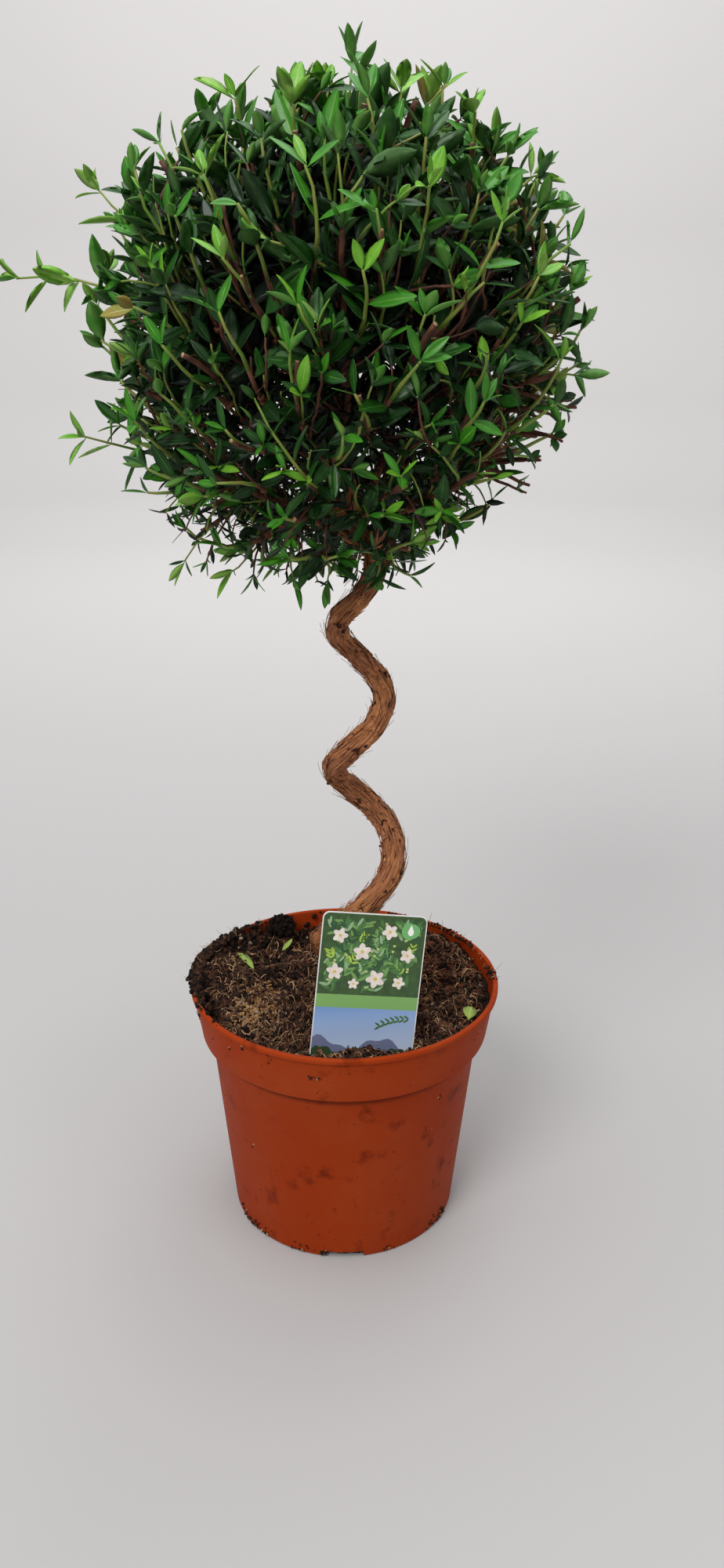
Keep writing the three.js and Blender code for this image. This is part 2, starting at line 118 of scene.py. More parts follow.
# The seed of each scatter of small things.
SEEDS = dict(print=5, strips=7, crumbs=11, scars=13, fibres=23, rim_hairs=29, pot_dirt=31, spurs=100)
# Where along a shoot its clearance is tested.
ON_THE_WAY = (0.25, 0.5, 0.75)

# The orders that the solids have: how many shoots aim out, how far as a share of the way to the clipped
# face, how thick, and how far inward of its aim each looks for its joint.
LIMB_ORDERS = [
    dict(name="branch", count=30, key=100, reach=0.8, radius=1.25, inward=0.4),
    dict(name="twig", count=80, key=1000, reach=0.93, radius=0.85, inward=0.2),
]
# The finer orders that only show here fill the same ball, from leaves painted dark as shade inside to long
# sprigs outside.
# Near is the nearest end as a share of reach, drop is how much lower they look for their joint, and sway is
# how far they stray from their line as a share of their length. The skirt grows only where the way out
# points down.
FINE_ORDERS = [
    dict(
        name="inner", count=480, key=2000, near=0.5, reach=0.7, radius=0.8, inward=0.3, drop=4, sway=0.08,
    ),
    dict(
        name="side", count=620, key=3000, near=0.8, reach=0.9, radius=0.75, inward=0.2, drop=8, sway=0.1,
    ),
    dict(
        name="sprig", count=190, key=5000, near=0.9, reach=1.0, radius=1.05, inward=0.3, drop=17, sway=0.06,
    ),
    dict(
        name="skirt", count=380, key=7000, near=0.9, reach=1.0, radius=0.6, inward=0.22, drop=-10, sway=0.1,
        below=-0.6,
    ),
]
# The shoots that are placed one by one, and the first of each kind's keys.
STRAY = dict(name="stray", key=9000, radius=0.85, inward=0.45)
SPUR = dict(name="spur", key=9500, radius=1.25, inward=0.36, drop=-4, sway=0.07)
HANGER = dict(name="hanger", key=9700, radius=0.7, inward=0.3, drop=-6, sway=0.06)
STUB = dict(name="stub", key=12000, inward=0.16, drop=6)
# How each order is dressed: leaf length, its width as a share of that, the gap between pairs, and the share
# of the shoot from its root that is bare.
DRESS = {
    "stem": (19, 0.34, 10, 0.6), "branch": (19, 0.35, 10, 0.35), "twig": (21, 0.38, 10, 0.25),
    "inner": (17, 0.31, 8.5, 0.05), "side": (20.5, 0.41, 9.5, 0.12), "sprig": (22.5, 0.41, 11.5, 0.24),
    "skirt": (19, 0.35, 9.5, 0.2), "stray": (23, 0.38, 12.5, 0.3), "spur": (13, 0.58, 12, 0.8),
    "hanger": (16, 0.34, 9.5, 0.2),
}
# Hollows in the face where leaves are few and the dark inside shows: centre and radius.
HOLLOWS = [((-44, -82, 490), 23), ((-44, -84, 456), 21), ((50, -80, 484), 22), ((10, -92, 452), 13)]
# The side below at the right, where the shears left bare wood, and the ends of its bare spurs.
BARE_SIDE = np.array([0.8, -0.35, -0.5]) / np.linalg.norm([0.8, -0.35, -0.5])
SPUR_ENDS = [
    (104, -20, 442), (97, -32, 428), (90, -14, 418), (82, -40, 409), (100, 6, 436),
]
# Shoots that hang lower than the rest at the left.
HANGER_ENDS = [
    (-76, -24, 371), (-64, -34, 373), (-42, -38, 368), (-24, -36, 366), (-54, -16, 366), (-8, -34, 365),
    (-34, 4, 366),
]
# Shoots that stand past the clipped face: direction from the heart, and how far past.
STRAYS = [
    ((-0.985, -0.08, 0.17), 1.45), ((-0.93, -0.18, -0.33), 1.24), ((-0.85, 0.05, 0.48), 1.22),
    ((-0.58, -0.2, -0.76), 1.2), ((0.03, -0.1, 1), 1.14), ((0.95, -0.1, -0.12), 1.08),
    ((0.35, 0.88, 0.3), 1.14), ((-0.3, 0.9, -0.25), 1.12),
]

LABEL = dict(
    width=53, length=100, thickness=0.8, corner=3.5, foot=(7, -66.5, 103.5), lean_back=0.15, tilt=0.115,
    turn=0.14, point=12,
)


def draw(*keys):
    """A whole-number hash of its keys, as a share from 0 to 1."""
    h = SEED
    for key in keys:
        h = (h ^ key) * HASH_STEP % HASH_SIZE
        h ^= h >> 15
    return h / HASH_SIZE


def spread(low, high, *keys):
    """A value between two ends that its keys decide."""
    return low + (high - low) * draw(*keys)


def unit(v):
    """A vector's direction."""
    return v / np.linalg.norm(v)


def smoothstep(x, low, high):
    """0 up to low, 1 from high on, and an even rise between."""
    t = min(1.0, max(0.0, (x - low) / (high - low)))
    return t * t * (3 - 2 * t)


def turned_about(vector, axis, angle):
    """A vector turned about a unit axis by the right-hand rule."""
    c, s = math.cos(angle), math.sin(angle)
    return vector * c + np.cross(axis, vector) * s + axis * np.dot(axis, vector) * (1 - c)


def around(angle, radius, height):
    """The place at an angle and a distance round the pot's axis."""
    return np.array([radius * math.cos(angle), radius * math.sin(angle), height])


# Materials

def srgb(text):
    """An sRGB hex colour as the linear colour that a shader reads."""
    channels = [int(text[i : i + 2], 16) / 255 for i in (1, 3, 5)]
    linear = [c / 12.92 if c <= 0.04045 else ((c + 0.055) / 1.055) ** 2.4 for c in channels]
    return (*linear, 1.0)


def add(tree, kind, settings=None):
    """One node. A setting is a property, or a socket's value, hex colour or the output that feeds it."""
    node = tree.nodes.new(kind)
    for name, value in (settings or {}).items():
        if isinstance(value, bpy.types.NodeSocket):
            tree.links.new(value, node.inputs[name])
        elif isinstance(value, str) and value.startswith("#"):
            node.inputs[name].default_value = srgb(value)
        elif isinstance(name, int) or name in node.inputs:
            node.inputs[name].default_value = value
        else:
            setattr(node, name, value)
    return node


def open_material(name):
    """A material with no nodes yet."""
    material = bpy.data.materials.new(name)
    material.use_nodes = True
    material.node_tree.nodes.clear()
    return material, material.node_tree


def shade(tree, settings):
    """The one Principled shader of a material, which closes it."""
    shader = add(tree, "ShaderNodeBsdfPrincipled", settings)
    add(tree, "ShaderNodeOutputMaterial", {"Surface": shader.outputs["BSDF"]})


def mottle(tree, place, size_mm, detail, low, high, first, second):
    """Two colours mixed in soft patches of a size, from noise between low and high."""
    patches = add(tree, "ShaderNodeTexNoise", {
        "Vector": place, "Scale": 1 / (size_mm * MM), "Detail": detail, "Roughness": 0.6,
    }).outputs["Fac"]
    share = add(tree, "ShaderNodeMapRange", {"Value": patches, "From Min": low, "From Max": high})
    mix = add(tree, "ShaderNodeMix", {"data_type": "RGBA", 0: share.outputs["Result"], 6: first, 7: second})
    return mix.outputs[2], patches


def moulded_polypropylene():
    """Injection-moulded polypropylene, terracotta-coloured: dull sheen, fine matt grain, dusty smudges."""
    material, tree = open_material("moulded_polypropylene")
    place = add(tree, "ShaderNodeTexCoord").outputs["Object"]
    dusty, _ = mottle(tree, place, 60, 4, 0.45, 0.8, "#9b3610", "#a0421e")
    smudged, _ = mottle(tree, place, 16, 6, 0.57, 0.72, dusty, "#6f220a")
    soiled, _ = mottle(tree, place, 5, 5, 0.66, 0.78, smudged, "#54200f")
    # Painted shadow: the corner under the band is darkened to dark brown, and the painted shade fades out
    # below it.
    height = add(tree, "ShaderNodeSeparateXYZ", {"Vector": place}).outputs["Z"]
    near = add(tree, "ShaderNodeMapRange", {
        "Value": height, "From Min": (BAND_FOOT - 6.5) * MM, "From Max": (BAND_FOOT - 2.2) * MM,
        "To Max": 0.88,
    })
    under = add(tree, "ShaderNodeMath", {"operation": "LESS_THAN", 0: height, 1: (BAND_FOOT - 0.4) * MM})
    band_shadow_share = add(tree, "ShaderNodeMath", {
        "operation": "MULTIPLY", 0: near.outputs["Result"], 1: under.outputs["Value"],
    })
    # The painted shadow under the band is mixed into the colour here.
    band_shadowed_colour = add(tree, "ShaderNodeMix", {
        "data_type": "RGBA", 0: band_shadow_share.outputs["Value"], 6: soiled, 7: "#300f07",
    })
    sheen = add(tree, "ShaderNodeTexNoise", {"Vector": place, "Scale": 1 / (9 * MM), "Detail": 5})
    rough = add(tree, "ShaderNodeMapRange", {"Value": sheen.outputs["Fac"], "To Min": 0.52, "To Max": 0.7})
    # The mould's spark texture is about 0.2 mm; it is drawn at 0.7 mm so that it shows.
    grain = add(tree, "ShaderNodeTexNoise", {"Vector": place, "Scale": 1 / (0.7 * MM), "Detail": 2})
    bump = add(tree, "ShaderNodeBump", {
        "Height": grain.outputs["Fac"], "Strength": 0.5, "Distance": 0.05 * MM,
    })
    # The reflection is tinted orange-brown and dimmed: a painted warm reflection, which also takes the
    # mirror edge off the sheen.
    shade(tree, {
        "IOR": 1.49, "Specular IOR Level": 0.1, "Specular Tint": (0.6, 0.36, 0.26, 1.0),
        "Base Color": band_shadowed_colour.outputs[2], "Roughness": rough.outputs["Result"],
        "Normal": bump.outputs["Normal"],
    })
    return material


def peat(name, dark, light, size_mm):
    """Damp peat and what lies in it: crumbly, near-black to brown, quite without gloss."""
    material, tree = open_material(name)
    place = add(tree, "ShaderNodeTexCoord").outputs["Object"]
    colour, patches = mottle(tree, place, size_mm, 5, 0.38, 0.66, dark, light)
    bump = add(tree, "ShaderNodeBump", {"Height": patches, "Strength": 0.8, "Distance": 0.5 * MM})
    shade(tree, {
        "Roughness": 0.92, "IOR": 1.4, "Specular IOR Level": 0.25, "Base Color": colour,
        "Normal": bump.outputs["Normal"],
    })
    return material


def fibrous_bark():
    """Myrtle bark: red-brown and tan fibres that run along the limb and peel in thin strips."""
    material, tree = open_material("fibrous_bark")
    place = add(tree, "ShaderNodeTexCoord").outputs["Object"]
    along = add(tree, "ShaderNodeUVMap", {"uv_map": "along"}).outputs["UV"]
    drawn = add(tree, "ShaderNodeMapping", {"Vector": along, "Scale": (1.0, 0.12, 1.0)}).outputs["Vector"]
    fibres = add(tree, "ShaderNodeTexNoise", {
        "Vector": drawn, "Scale": 1 / (0.9 * MM), "Detail": 6, "Roughness": 0.65,
    }).outputs["Fac"]
    ramp = add(tree, "ShaderNodeValToRGB", {"Fac": fibres})
    stops = ramp.color_ramp.elements
    stops[0].position, stops[0].color = 0.3, srgb("#2e130d")
    stops[1].position, stops[1].color = 0.74, srgb("#e6bb8e")
    for position, colour in ((0.42, "#874d31"), (0.55, "#c58455")):
        stops.new(position).color = srgb(colour)
    golden, _ = mottle(tree, place, 20, 3, 0.4, 0.62, "#925639", "#d08a54")
    tinted = add(tree, "ShaderNodeMix", {"data_type": "RGBA", 0: 0.5, 6: ramp.outputs["Color"], 7: golden})
    stained, _ = mottle(tree, place, 7, 4, 0.62, 0.74, tinted.outputs[2], "#4a2519")
    cracked, _ = mottle(tree, drawn, 1.7, 4, 0.55, 0.61, stained, "#24100a")
    bump = add(tree, "ShaderNodeBump", {"Height": fibres, "Distance": 0.9 * MM})
    shade(tree, {
        "Roughness": 0.8, "Specular IOR Level": 0.3, "Base Color": cracked, "Normal": bump.outputs["Normal"],
    })
    return material


def plain(name, colour, roughness, ior=1.45, patch_mm=5, second=None):
    """A surface of one finish with a soft variation between two near colours."""
    material, tree = open_material(name)
    place = add(tree, "ShaderNodeTexCoord").outputs["Object"]
    mixed, _ = mottle(tree, place, patch_mm, 3, 0.35, 0.65, colour, second or colour)
    shade(tree, {"Roughness": roughness, "IOR": ior, "Base Color": mixed})
    return material


def leaf_skin(name, colour, second, roughness):
    """A leathery evergreen leaf: a waxy skin over green, brighter where it is young."""
    material, tree = open_material(name)
    place = add(tree, "ShaderNodeTexCoord").outputs["Object"]
    mixed, _ = mottle(tree, place, 7, 4, 0.35, 0.68, colour, second)
    veins = add(tree, "ShaderNodeTexNoise", {"Vector": place, "Scale": 1 / (1.3 * MM), "Detail": 3})
    bump = add(tree, "ShaderNodeBump", {
        "Height": veins.outputs["Fac"], "Strength": 0.5, "Distance": 0.12 * MM,
    })
    shade(tree, {
        "Roughness": roughness, "IOR": 1.45, "Specular IOR Level": 0.34, "Coat Weight": 0.1,
        "Base Color": mixed, "Normal": bump.outputs["Normal"],
    })
    return material


def sky_print():
    """Offset print under a gloss varnish: blue that pales downwards."""
    material, tree = open_material("print_sky")
    place = add(tree, "ShaderNodeTexCoord").outputs["Object"]
    height = add(tree, "ShaderNodeSeparateXYZ", {"Vector": place}).outputs["Z"]
    share = add(tree, "ShaderNodeMapRange", {"Value": height, "From Min": 126 * MM, "From Max": 156 * MM})
    mix = add(tree, "ShaderNodeMix", {
        "data_type": "RGBA", 0: share.outputs["Result"], 6: "#c3d2e6", 7: "#6a92c9",
    })
    shade(tree, {"Roughness": 0.28, "IOR": 1.5, "Base Color": mix.outputs[2]})
    return material


def backdrop_paper():
    """A pale matt studio sweep."""
    material, tree = open_material("backdrop_paper")
    shade(tree, {"Base Color": "#b2b0af", "Roughness": 0.95})
    return material


# Mesh helpers

def deselect():
    """Nothing is selected, and edit mode is left."""
    if bpy.context.object and bpy.context.object.mode != "OBJECT":
        bpy.ops.object.mode_set(mode="OBJECT")
    bpy.ops.object.select_all(action="DESELECT")


def activate(piece):
    """Only this piece is selected, and tools act on it."""
    deselect()
    piece.select_set(True)
    bpy.context.view_layer.objects.active = piece


def start_edit(kind, action):
    """Edit mode, with all faces, edges or corners of the active piece selected or none."""
    bpy.ops.object.mode_set(mode="EDIT")
    bpy.ops.mesh.select_mode(type=kind)
    bpy.ops.mesh.select_all(action=action)


def end_edit():
    """All faces are turned outward, and edit mode is left."""
    bpy.ops.mesh.select_all(action="SELECT")
    bpy.ops.mesh.normals_make_consistent(inside=False)
    bpy.ops.object.mode_set(mode="OBJECT")


def pick(piece, kind, wanted):
    """Edit mode, with the faces or corners selected that a rule wants."""
    activate(piece)
    start_edit(kind, "DESELECT")
    bpy.ops.object.mode_set(mode="OBJECT")
    for part in piece.data.polygons if kind == "FACE" else piece.data.vertices:
        part.select = wanted(part)
    bpy.ops.object.mode_set(mode="EDIT")


def extrude_rings(radius, height, rings, flatten=1):
    """What is selected is carried on through rings of given radius and height."""
    for next_radius, next_height in rings:
        rise = (next_height - height) * MM
        bpy.ops.mesh.extrude_region_move(TRANSFORM_OT_translate={"value": (0, 0, rise)})
        share = next_radius / radius
        bpy.ops.transform.resize(value=(share, share, flatten), center_override=(0, 0, next_height * MM))
        radius, height = next_radius, next_height


def settle(piece, name, material=None):
    """The piece's place goes into its mesh, and it gets its name and finish."""
    activate(piece)
    bpy.ops.object.transform_apply(location=True, rotation=True, scale=True)
    piece.name = name
    piece.data.name = name
    if material is not None:
        piece.data.materials.clear()
        piece.data.materials.append(material)
    return piece


def belong(piece, slot, *replaced):
    """The piece rides on the plant's one body and stands for the CAD nodes named. Its slot is not used."""
    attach(piece, BODY)
    if replaced:
        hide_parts(*replaced)


def piece_of(mesh, slot, *replaced):
    """A finished mesh becomes a piece of the plant."""
    piece = bpy.data.objects.new(mesh.name, mesh)
    bpy.context.scene.collection.objects.link(piece)
    belong(piece, slot, *replaced)


def quad_mesh(name, points, quads, slots):
    """A smooth mesh of four-sided faces from arrays, in metres."""
    mesh = bpy.data.meshes.new(name)
    mesh.vertices.add(len(points))
    mesh.vertices.foreach_set("co", points.astype(np.float32).ravel())
    mesh.loops.add(quads.size)
    mesh.loops.foreach_set("vertex_index", quads.astype(np.int32).ravel())
    mesh.polygons.add(len(quads))
    mesh.polygons.foreach_set("loop_start", np.arange(0, quads.size, 4, dtype=np.int32))
    mesh.polygons.foreach_set("material_index", slots.astype(np.int32))
    mesh.update(calc_edges=True)
    mesh.validate()
    mesh.shade_smooth()
    return mesh


def face_mesh(name, points, faces, material, smooth):
    """A mesh of one finish from lists of points, in metres, and faces."""
    mesh = bpy.data.meshes.new(name)
    mesh.from_pydata([tuple(p) for p in points], [], faces)
    mesh.update()
    if smooth:
        mesh.shade_smooth()
    mesh.materials.append(material)
    return mesh


class Heap:
    """Points and faces of many small things that become one joined mesh."""

    def __init__(self):
        self.points = []
        self.faces = []
        self.places = []

    def take(self, points, faces, places=()):
        """One more thing. Its places are where each corner of its faces lies on the bark's own map."""
        start = len(self.points)
        self.points.extend(points)
        self.faces.extend([tuple(start + i for i in face) for face in faces])
        self.places.extend(places)

    def piece(self, name, material, slot, *replaced, smooth=True):
        """The heap becomes a piece."""
        points = [tuple(c * MM for c in p) for p in self.points]
        mesh = face_mesh(name, points, self.faces, material, smooth)
        if self.places:
            layer = mesh.uv_layers.new(name="along")
            layer.data.foreach_set("uv", np.array(self.places, dtype=np.float32).ravel())
        piece_of(mesh, slot, *replaced)


def frames_along(centres):
    """Two directions across each step of a line that turn as little as they can."""
    tangents = np.gradient(centres, axis=0)
    tangents /= np.linalg.norm(tangents, axis=1)[:, None]
    guess = UP if abs(tangents[0][2]) < 0.9 else np.array([1.0, 0.0, 0.0])
    side = unit(np.cross(tangents[0], guess))
    sides = []
    for tangent in tangents:
        side = unit(side - tangent * np.dot(side, tangent))
        sides.append(side)
    sides = np.array(sides)
    return sides, np.cross(tangents, sides)


def taper(radius, foot=1.0, loss=0.6):
    """A limb's radius along its way, as a rule: foot is its share at the start, and loss goes by the tip."""
    return lambda share, angle, length: radius * (foot - loss * share)


def limb_into(heap, centres, radius_at, sides):
    """A closed limb along centres. radius_at takes the share of the way, the angle and the length so far."""
    first, second = frames_along(centres)
    steps = len(centres) - 1
    lengths = np.concatenate([[0], np.cumsum(np.linalg.norm(np.diff(centres, axis=0), axis=1))])
    points = []
    girth = radius_at(0.0, 0.0, 0.0) * TURN * MM
    for i in range(steps + 1):
        for k in range(sides):
            angle = k / sides * TURN
            radius = radius_at(i / steps, angle, lengths[i])
            points.append(centres[i] + radius * (math.cos(angle) * first[i] + math.sin(angle) * second[i]))
    faces = []
    places = []
    for i in range(steps):
        v0, v1 = lengths[i] * MM, lengths[i + 1] * MM
        for k in range(sides):
            j = (k + 1) % sides
            faces.append((i * sides + k, i * sides + j, (i + 1) * sides + j, (i + 1) * sides + k))
            u0, u1 = k / sides * girth, (k + 1) / sides * girth
            places.extend([(u0, v0), (u1, v0), (u1, v1), (u0, v1)])
    faces.append(tuple(range(sides - 1, -1, -1)))
    faces.append(tuple(steps * sides + k for k in range(sides)))
    places.extend([(0, 0)] * (2 * sides))
    heap.take(points, faces, places)


# The growth rule: the same as the solids', carried on to finer shoots

def stem_point(height):
    """The middle of the corkscrew stem at a height."""
    up = height - STEM["middle"]
    angle = STEM["phase"] + TURN * up / STEM["pitch"] + STEM["tightening"] * up * up
    winding = STEM["winding"] - STEM["shrink"] * up
    kick = STEM["kick"] * (1 - smoothstep(height, STEM["kick_from"], STEM["kick_to"]))
    return np.array([
        STEM["axis_x"] + STEM["lean"] * up - kick + winding * math.cos(angle),
        STEM["axis_y"] + winding * math.sin(angle),
        height,
    ])


def clip_reach(direction):
    """How far the clipped face is from the heart in a direction."""
    flat = math.hypot(direction[0], direction[1]) / CROWN_RADIUS
    tall = abs(direction[2]) / CROWN_HALF_HEIGHT
    ball = (flat**SQUARENESS + tall**SQUARENESS) ** (-1 / SQUARENESS)
    facing = float(np.dot(direction, FLAT_DIRECTION))
    return min(ball, FLAT_DISTANCE / facing) if facing > 0 else ball


def level_direction(angle, high):
    """The direction at an angle round and a share up."""
    flat = math.sqrt(1 - high * high)
    return np.array([flat * math.cos(angle), flat * math.sin(angle), high])


def even_direction(k):
    """Directions that fill a ball evenly, however many there are."""
    high = 1 - 2 * ((0.5 + k * EVEN_STEPS[0]) % 1)
    return level_direction(((0.5 + k * EVEN_STEPS[1]) % 1) * TURN, high)


class Limb:
    """A curved shoot from its joint to its tip."""

    def __init__(self, start, bend, end, radius=0.0, key=0, order=""):
        self.start, self.bend, self.end = start, bend, end
        self.radius, self.key, self.order = radius, key, order

    def point(self, t):
        """The place at a share of the way."""
        return (1 - t) ** 2 * self.start + 2 * t * (1 - t) * self.bend + t * t * self.end

    def line(self, steps):
        """Even steps along the way."""
        return np.array([self.point(i / steps) for i in range(steps + 1)])

    def tangent(self, t):
        """The way on at a share of the way."""
        return unit((1 - t) * (self.bend - self.start) + t * (self.end - self.bend))

    def length(self):
        """A little more than its real length: that of its two straight legs."""
        return np.linalg.norm(self.bend - self.start) + np.linalg.norm(self.end - self.bend)

    def near_stem(self):
        """Whether it passes too near the stem."""
        return any(near_stem(self.point(share)) for share in ON_THE_WAY)


class Mass:
    """One of the masses of foliage, with its limbs and the places on them where a shoot can start."""

    def __init__(self, name, direction, height):
        self.name = name
        self.height = height
        self.end = HEART + direction * clip_reach(direction)
        self.axis = unit(self.end - FORK)
        self.tip = FORK + self.axis * BOUGH["reach"]
        self.limbs = []
        self.places = []
        self.headings = []

    def grow(self, limb):
        """A limb is taken up, and shoots can start at nine places on it."""
        self.limbs.append(limb)
        for step in range(1, 10):
            self.places.append(limb.point(step / 10))
            self.headings.append(limb.tangent(step / 10))

    def holds(self, point, room):
        """Whether a point is in this mass's own space, with room round it."""
        away = point - FORK
        least = float(np.dot(away, self.axis)) - BOUGH["reach"] - 2
        for other in MASSES:
            if other is not self:
                least = min(least, float(np.dot(away, unit(self.axis - other.axis))) - SPACE_GAP / 2)
        return least > room


def mass_aims():
    """One mass at the top and two rings of five."""
    masses = [Mass("top", UP, STEM["tip"])]
    for ring, high, start, height in (("upper", 0.447, -90, 380), ("lower", -0.43, -54, 365)):
        for i in range(5):
            direction = level_direction(math.radians(start + 72 * i), high)
            masses.append(Mass(f"{ring}_{i + 1}", direction, height + 2 * i))
    return masses


MASSES = mass_aims()


def near_stem(point):
    """Whether a point is in the stem or too near it."""
    if point[2] > STEM["tip"] + 12:
        return False
    centre = stem_point(min(point[2], STEM["tip"]))
    return math.hypot(point[0] - centre[0], point[1] - centre[1]) < STEM["foot_radius"] + STEM_CLEARANCE


def owner_of(aim):
    """The mass whose space an aim lies in."""
    return max(MASSES, key=lambda mass: float(np.dot(aim - FORK, mass.axis)))


def shoot_to(mass, aim, order, key):
    """A shoot from its joint to its aim: it leaves along its parent and then turns up to the light."""
    inner = HEART + (FORK - HEART) * 0.35
    wanted = aim + (inner - aim) * order["inward"]
    wanted[2] -= order.get("drop", 0)
    nearest = int(np.argmin(np.sum((np.array(mass.places) - wanted) ** 2, axis=1)))
    joint, heading = mass.places[nearest], mass.headings[nearest]
    length = np.linalg.norm(aim - joint)
    bend = joint + (aim - joint) * 0.45 + heading * 0.22 * length
    bend[2] -= 0.05 * length
    if "sway" in order:
        bend += np.random.default_rng(key).normal(0, order["sway"] * length, 3)
    return Limb(joint, bend, aim, order["radius"], key, order["name"])


def add_limb(aim, order, key):
    """A shoot that the solids have too: it keeps to its mass's space."""
    radius = order["radius"]
    mass = owner_of(aim)
    if near_stem(aim) or not mass.holds(aim, radius + 1.5):
        return
    limb = shoot_to(mass, aim, order, key)
    inside = all(mass.holds(limb.point(share), radius + 0.5) for share in ON_THE_WAY)
    if inside and not limb.near_stem() and mass.holds(limb.bend, 0):
        mass.grow(limb)


def add_fine_shoot(aim, order, key, longest=75):
    """A finer shoot, which may reach among its neighbours."""
    if near_stem(aim):
        return
    mass = owner_of(aim)
    limb = shoot_to(mass, aim, order, key)
    if limb.length() < longest and not limb.near_stem():
        mass.grow(limb)


def grow_crown():
    """Each mass gets its main stem, the orders that the solids have, and then the finer ones."""
    for number, mass in enumerate(MASSES):
        end = mass.tip + (mass.end - mass.tip) * 0.9
        mass.grow(Limb(mass.tip, (mass.tip + end) / 2, end, BOUGH["end_radius"], number, "stem"))
    for order in LIMB_ORDERS:
        for k in range(order["key"], order["key"] + order["count"]):
            direction = even_direction(k)
            far = clip_reach(direction) * order["reach"] * spread(0.94, 1.02, k, USE["reach"])
            add_limb(HEART + direction * far, order, k)
    for number, (toward, past) in enumerate(STRAYS):
        direction = unit(np.array(toward))
        far = clip_reach(direction) * past - 12
        add_limb(HEART + direction * far, STRAY, STRAY["key"] + number)
    for order in FINE_ORDERS:
        for k in range(order["key"], order["key"] + order["count"]):
            direction = even_direction(k)
            if direction[2] > order.get("below", 1):
                continue
            near, reach = order["near"] * order["reach"], order["reach"] * 1.02
            far = clip_reach(direction) * spread(near, reach, k, USE["reach"])
            add_fine_shoot(HEART + direction * far, order, k)
    for number, end in enumerate(HANGER_ENDS):
        add_fine_shoot(np.array(end, dtype=float), HANGER, HANGER["key"] + number)
    for number, end in enumerate(SPUR_ENDS):
        for fork in range(2):
            aside = np.random.default_rng(SEEDS["spurs"] + 10 * number + fork).normal(0, 5.5 * fork, 3)
            thinner = dict(SPUR, radius=SPUR["radius"] - 0.3 * fork)
            add_fine_shoot(np.array(end) + aside, thinner, SPUR["key"] + 10 * number + fork)


# Leaves

# How wide a leaf is at each row from root to tip, and where its columns lie from edge to edge. The leaves of
# the painted-shade kind, inside and low down, have fewer.
OPEN_FORM = dict(
    rows=np.array([0.0, 0.07, 0.2, 0.38, 0.58, 0.78, 0.92, 1.0]),
    widths=np.array([0.08, 0.12, 0.6, 0.95, 1.0, 0.73, 0.36, 0.04]),
    columns=np.array([-1.0, -0.52, -0.075, 0.075, 0.52, 1.0]),
)
SHADED_FORM = dict(
    rows=np.array([0.0, 0.12, 0.38, 0.7, 1.0]),
    widths=np.array([0.1, 0.42, 0.98, 0.78, 0.03]),
    columns=np.array([-1.0, 0.0, 1.0]),
)
LEAF_THICKNESS = 0.25
BLADE, RIB, UNDERSIDE = range(3)

LEAF_KINDS = {
    # kind: blade, second blade colour, midrib, underside, roughness
    # The first kind is painted shade: near-black leaves for the dark inside and the underside of the ball.
    "painted_shade": ("#051507", "#091d0a", "#142a0e", "#1a2f17", 0.5),
    "old": ("#0a2909", "#12360b", "#2a581b", "#375430", 0.44),
    "full": ("#14400c", "#1f5211", "#467926", "#496d36", 0.42),
    "fresh": ("#2f7416", "#3f861e", "#77a740", "#659144", 0.39),
    "tip": ("#5c9a26", "#76b034", "#a3c763", "#8aad57", 0.38),
    "faded": ("#77842c", "#8f7430", "#a5a052", "#8c8c4c", 0.5),
}
# How high a leaf's score of youth and painted light must be for its kind.
YOUTH_AND_PAINTED_LIGHT_ENOUGH = (("tip", 1.16), ("fresh", 0.86), ("full", 0.46))
# How likely a leaf is to be missing in a hollow and on the bare side.
HOLLOW_LOSS = 0.85
BARE_LOSS = 0.68
# How far a leaf may stand past the clipped face, as a share of the way to it, and past the solids' box.
LOOSE_LIMIT = 1.09
CLOSE_LIMIT = 1.04
BOX_MARGIN = 3
# How much leaves differ, either way.
VARIETY = dict(turn=0.5, splay=0.34, lift=0.2, roll=0.65, length=0.2, width=0.15, fold=0.2, curl=0.13)


class Leaves:
    """Leaves by kind, as rows of root, way along, way faced, length, width, fold and curl."""

    def __init__(self):
        self.rows = {kind: [] for kind in LEAF_KINDS}

    def take(self, kind, root, along, face, *sizes):
        """One more leaf."""
        self.rows[kind].append((*root, *along, *face, *sizes))

    def meshes(self):
        """Each kind that has leaves, and its mesh."""
        for kind, rows in self.rows.items():
            if rows:
                form = SHADED_FORM if kind == "painted_shade" else OPEN_FORM
                yield kind, leaf_mesh(f"leaves_{kind}", np.array(rows), form)


def sheet_points(data, form, columns, lift):
    """The points of every leaf's blade: rows from root to tip, columns from edge to edge."""
    root, along, face = data[:, 0:3], data[:, 3:6], data[:, 6:9]
    length, width, fold, curl = (data[:, i, None, None] for i in (9, 10, 11, 12))
    across = np.cross(face, along)
    t = form["rows"][None, :, None]
    half = width * form["widths"][None, :, None] / 2
    side = columns[None, None, :]
    forward = length * t
    out = half * side * np.cos(fold)
    rise = half * np.abs(side) ** 1.4 * np.sin(fold) + curl * length * t**2 + lift
    points = (
        root[:, None, None, :]
        + forward[..., None] * along[:, None, None, :]
        + out[..., None] * across[:, None, None, :]
        + rise[..., None] * face[:, None, None, :]
    )
    return points.reshape(len(data), -1, 3)


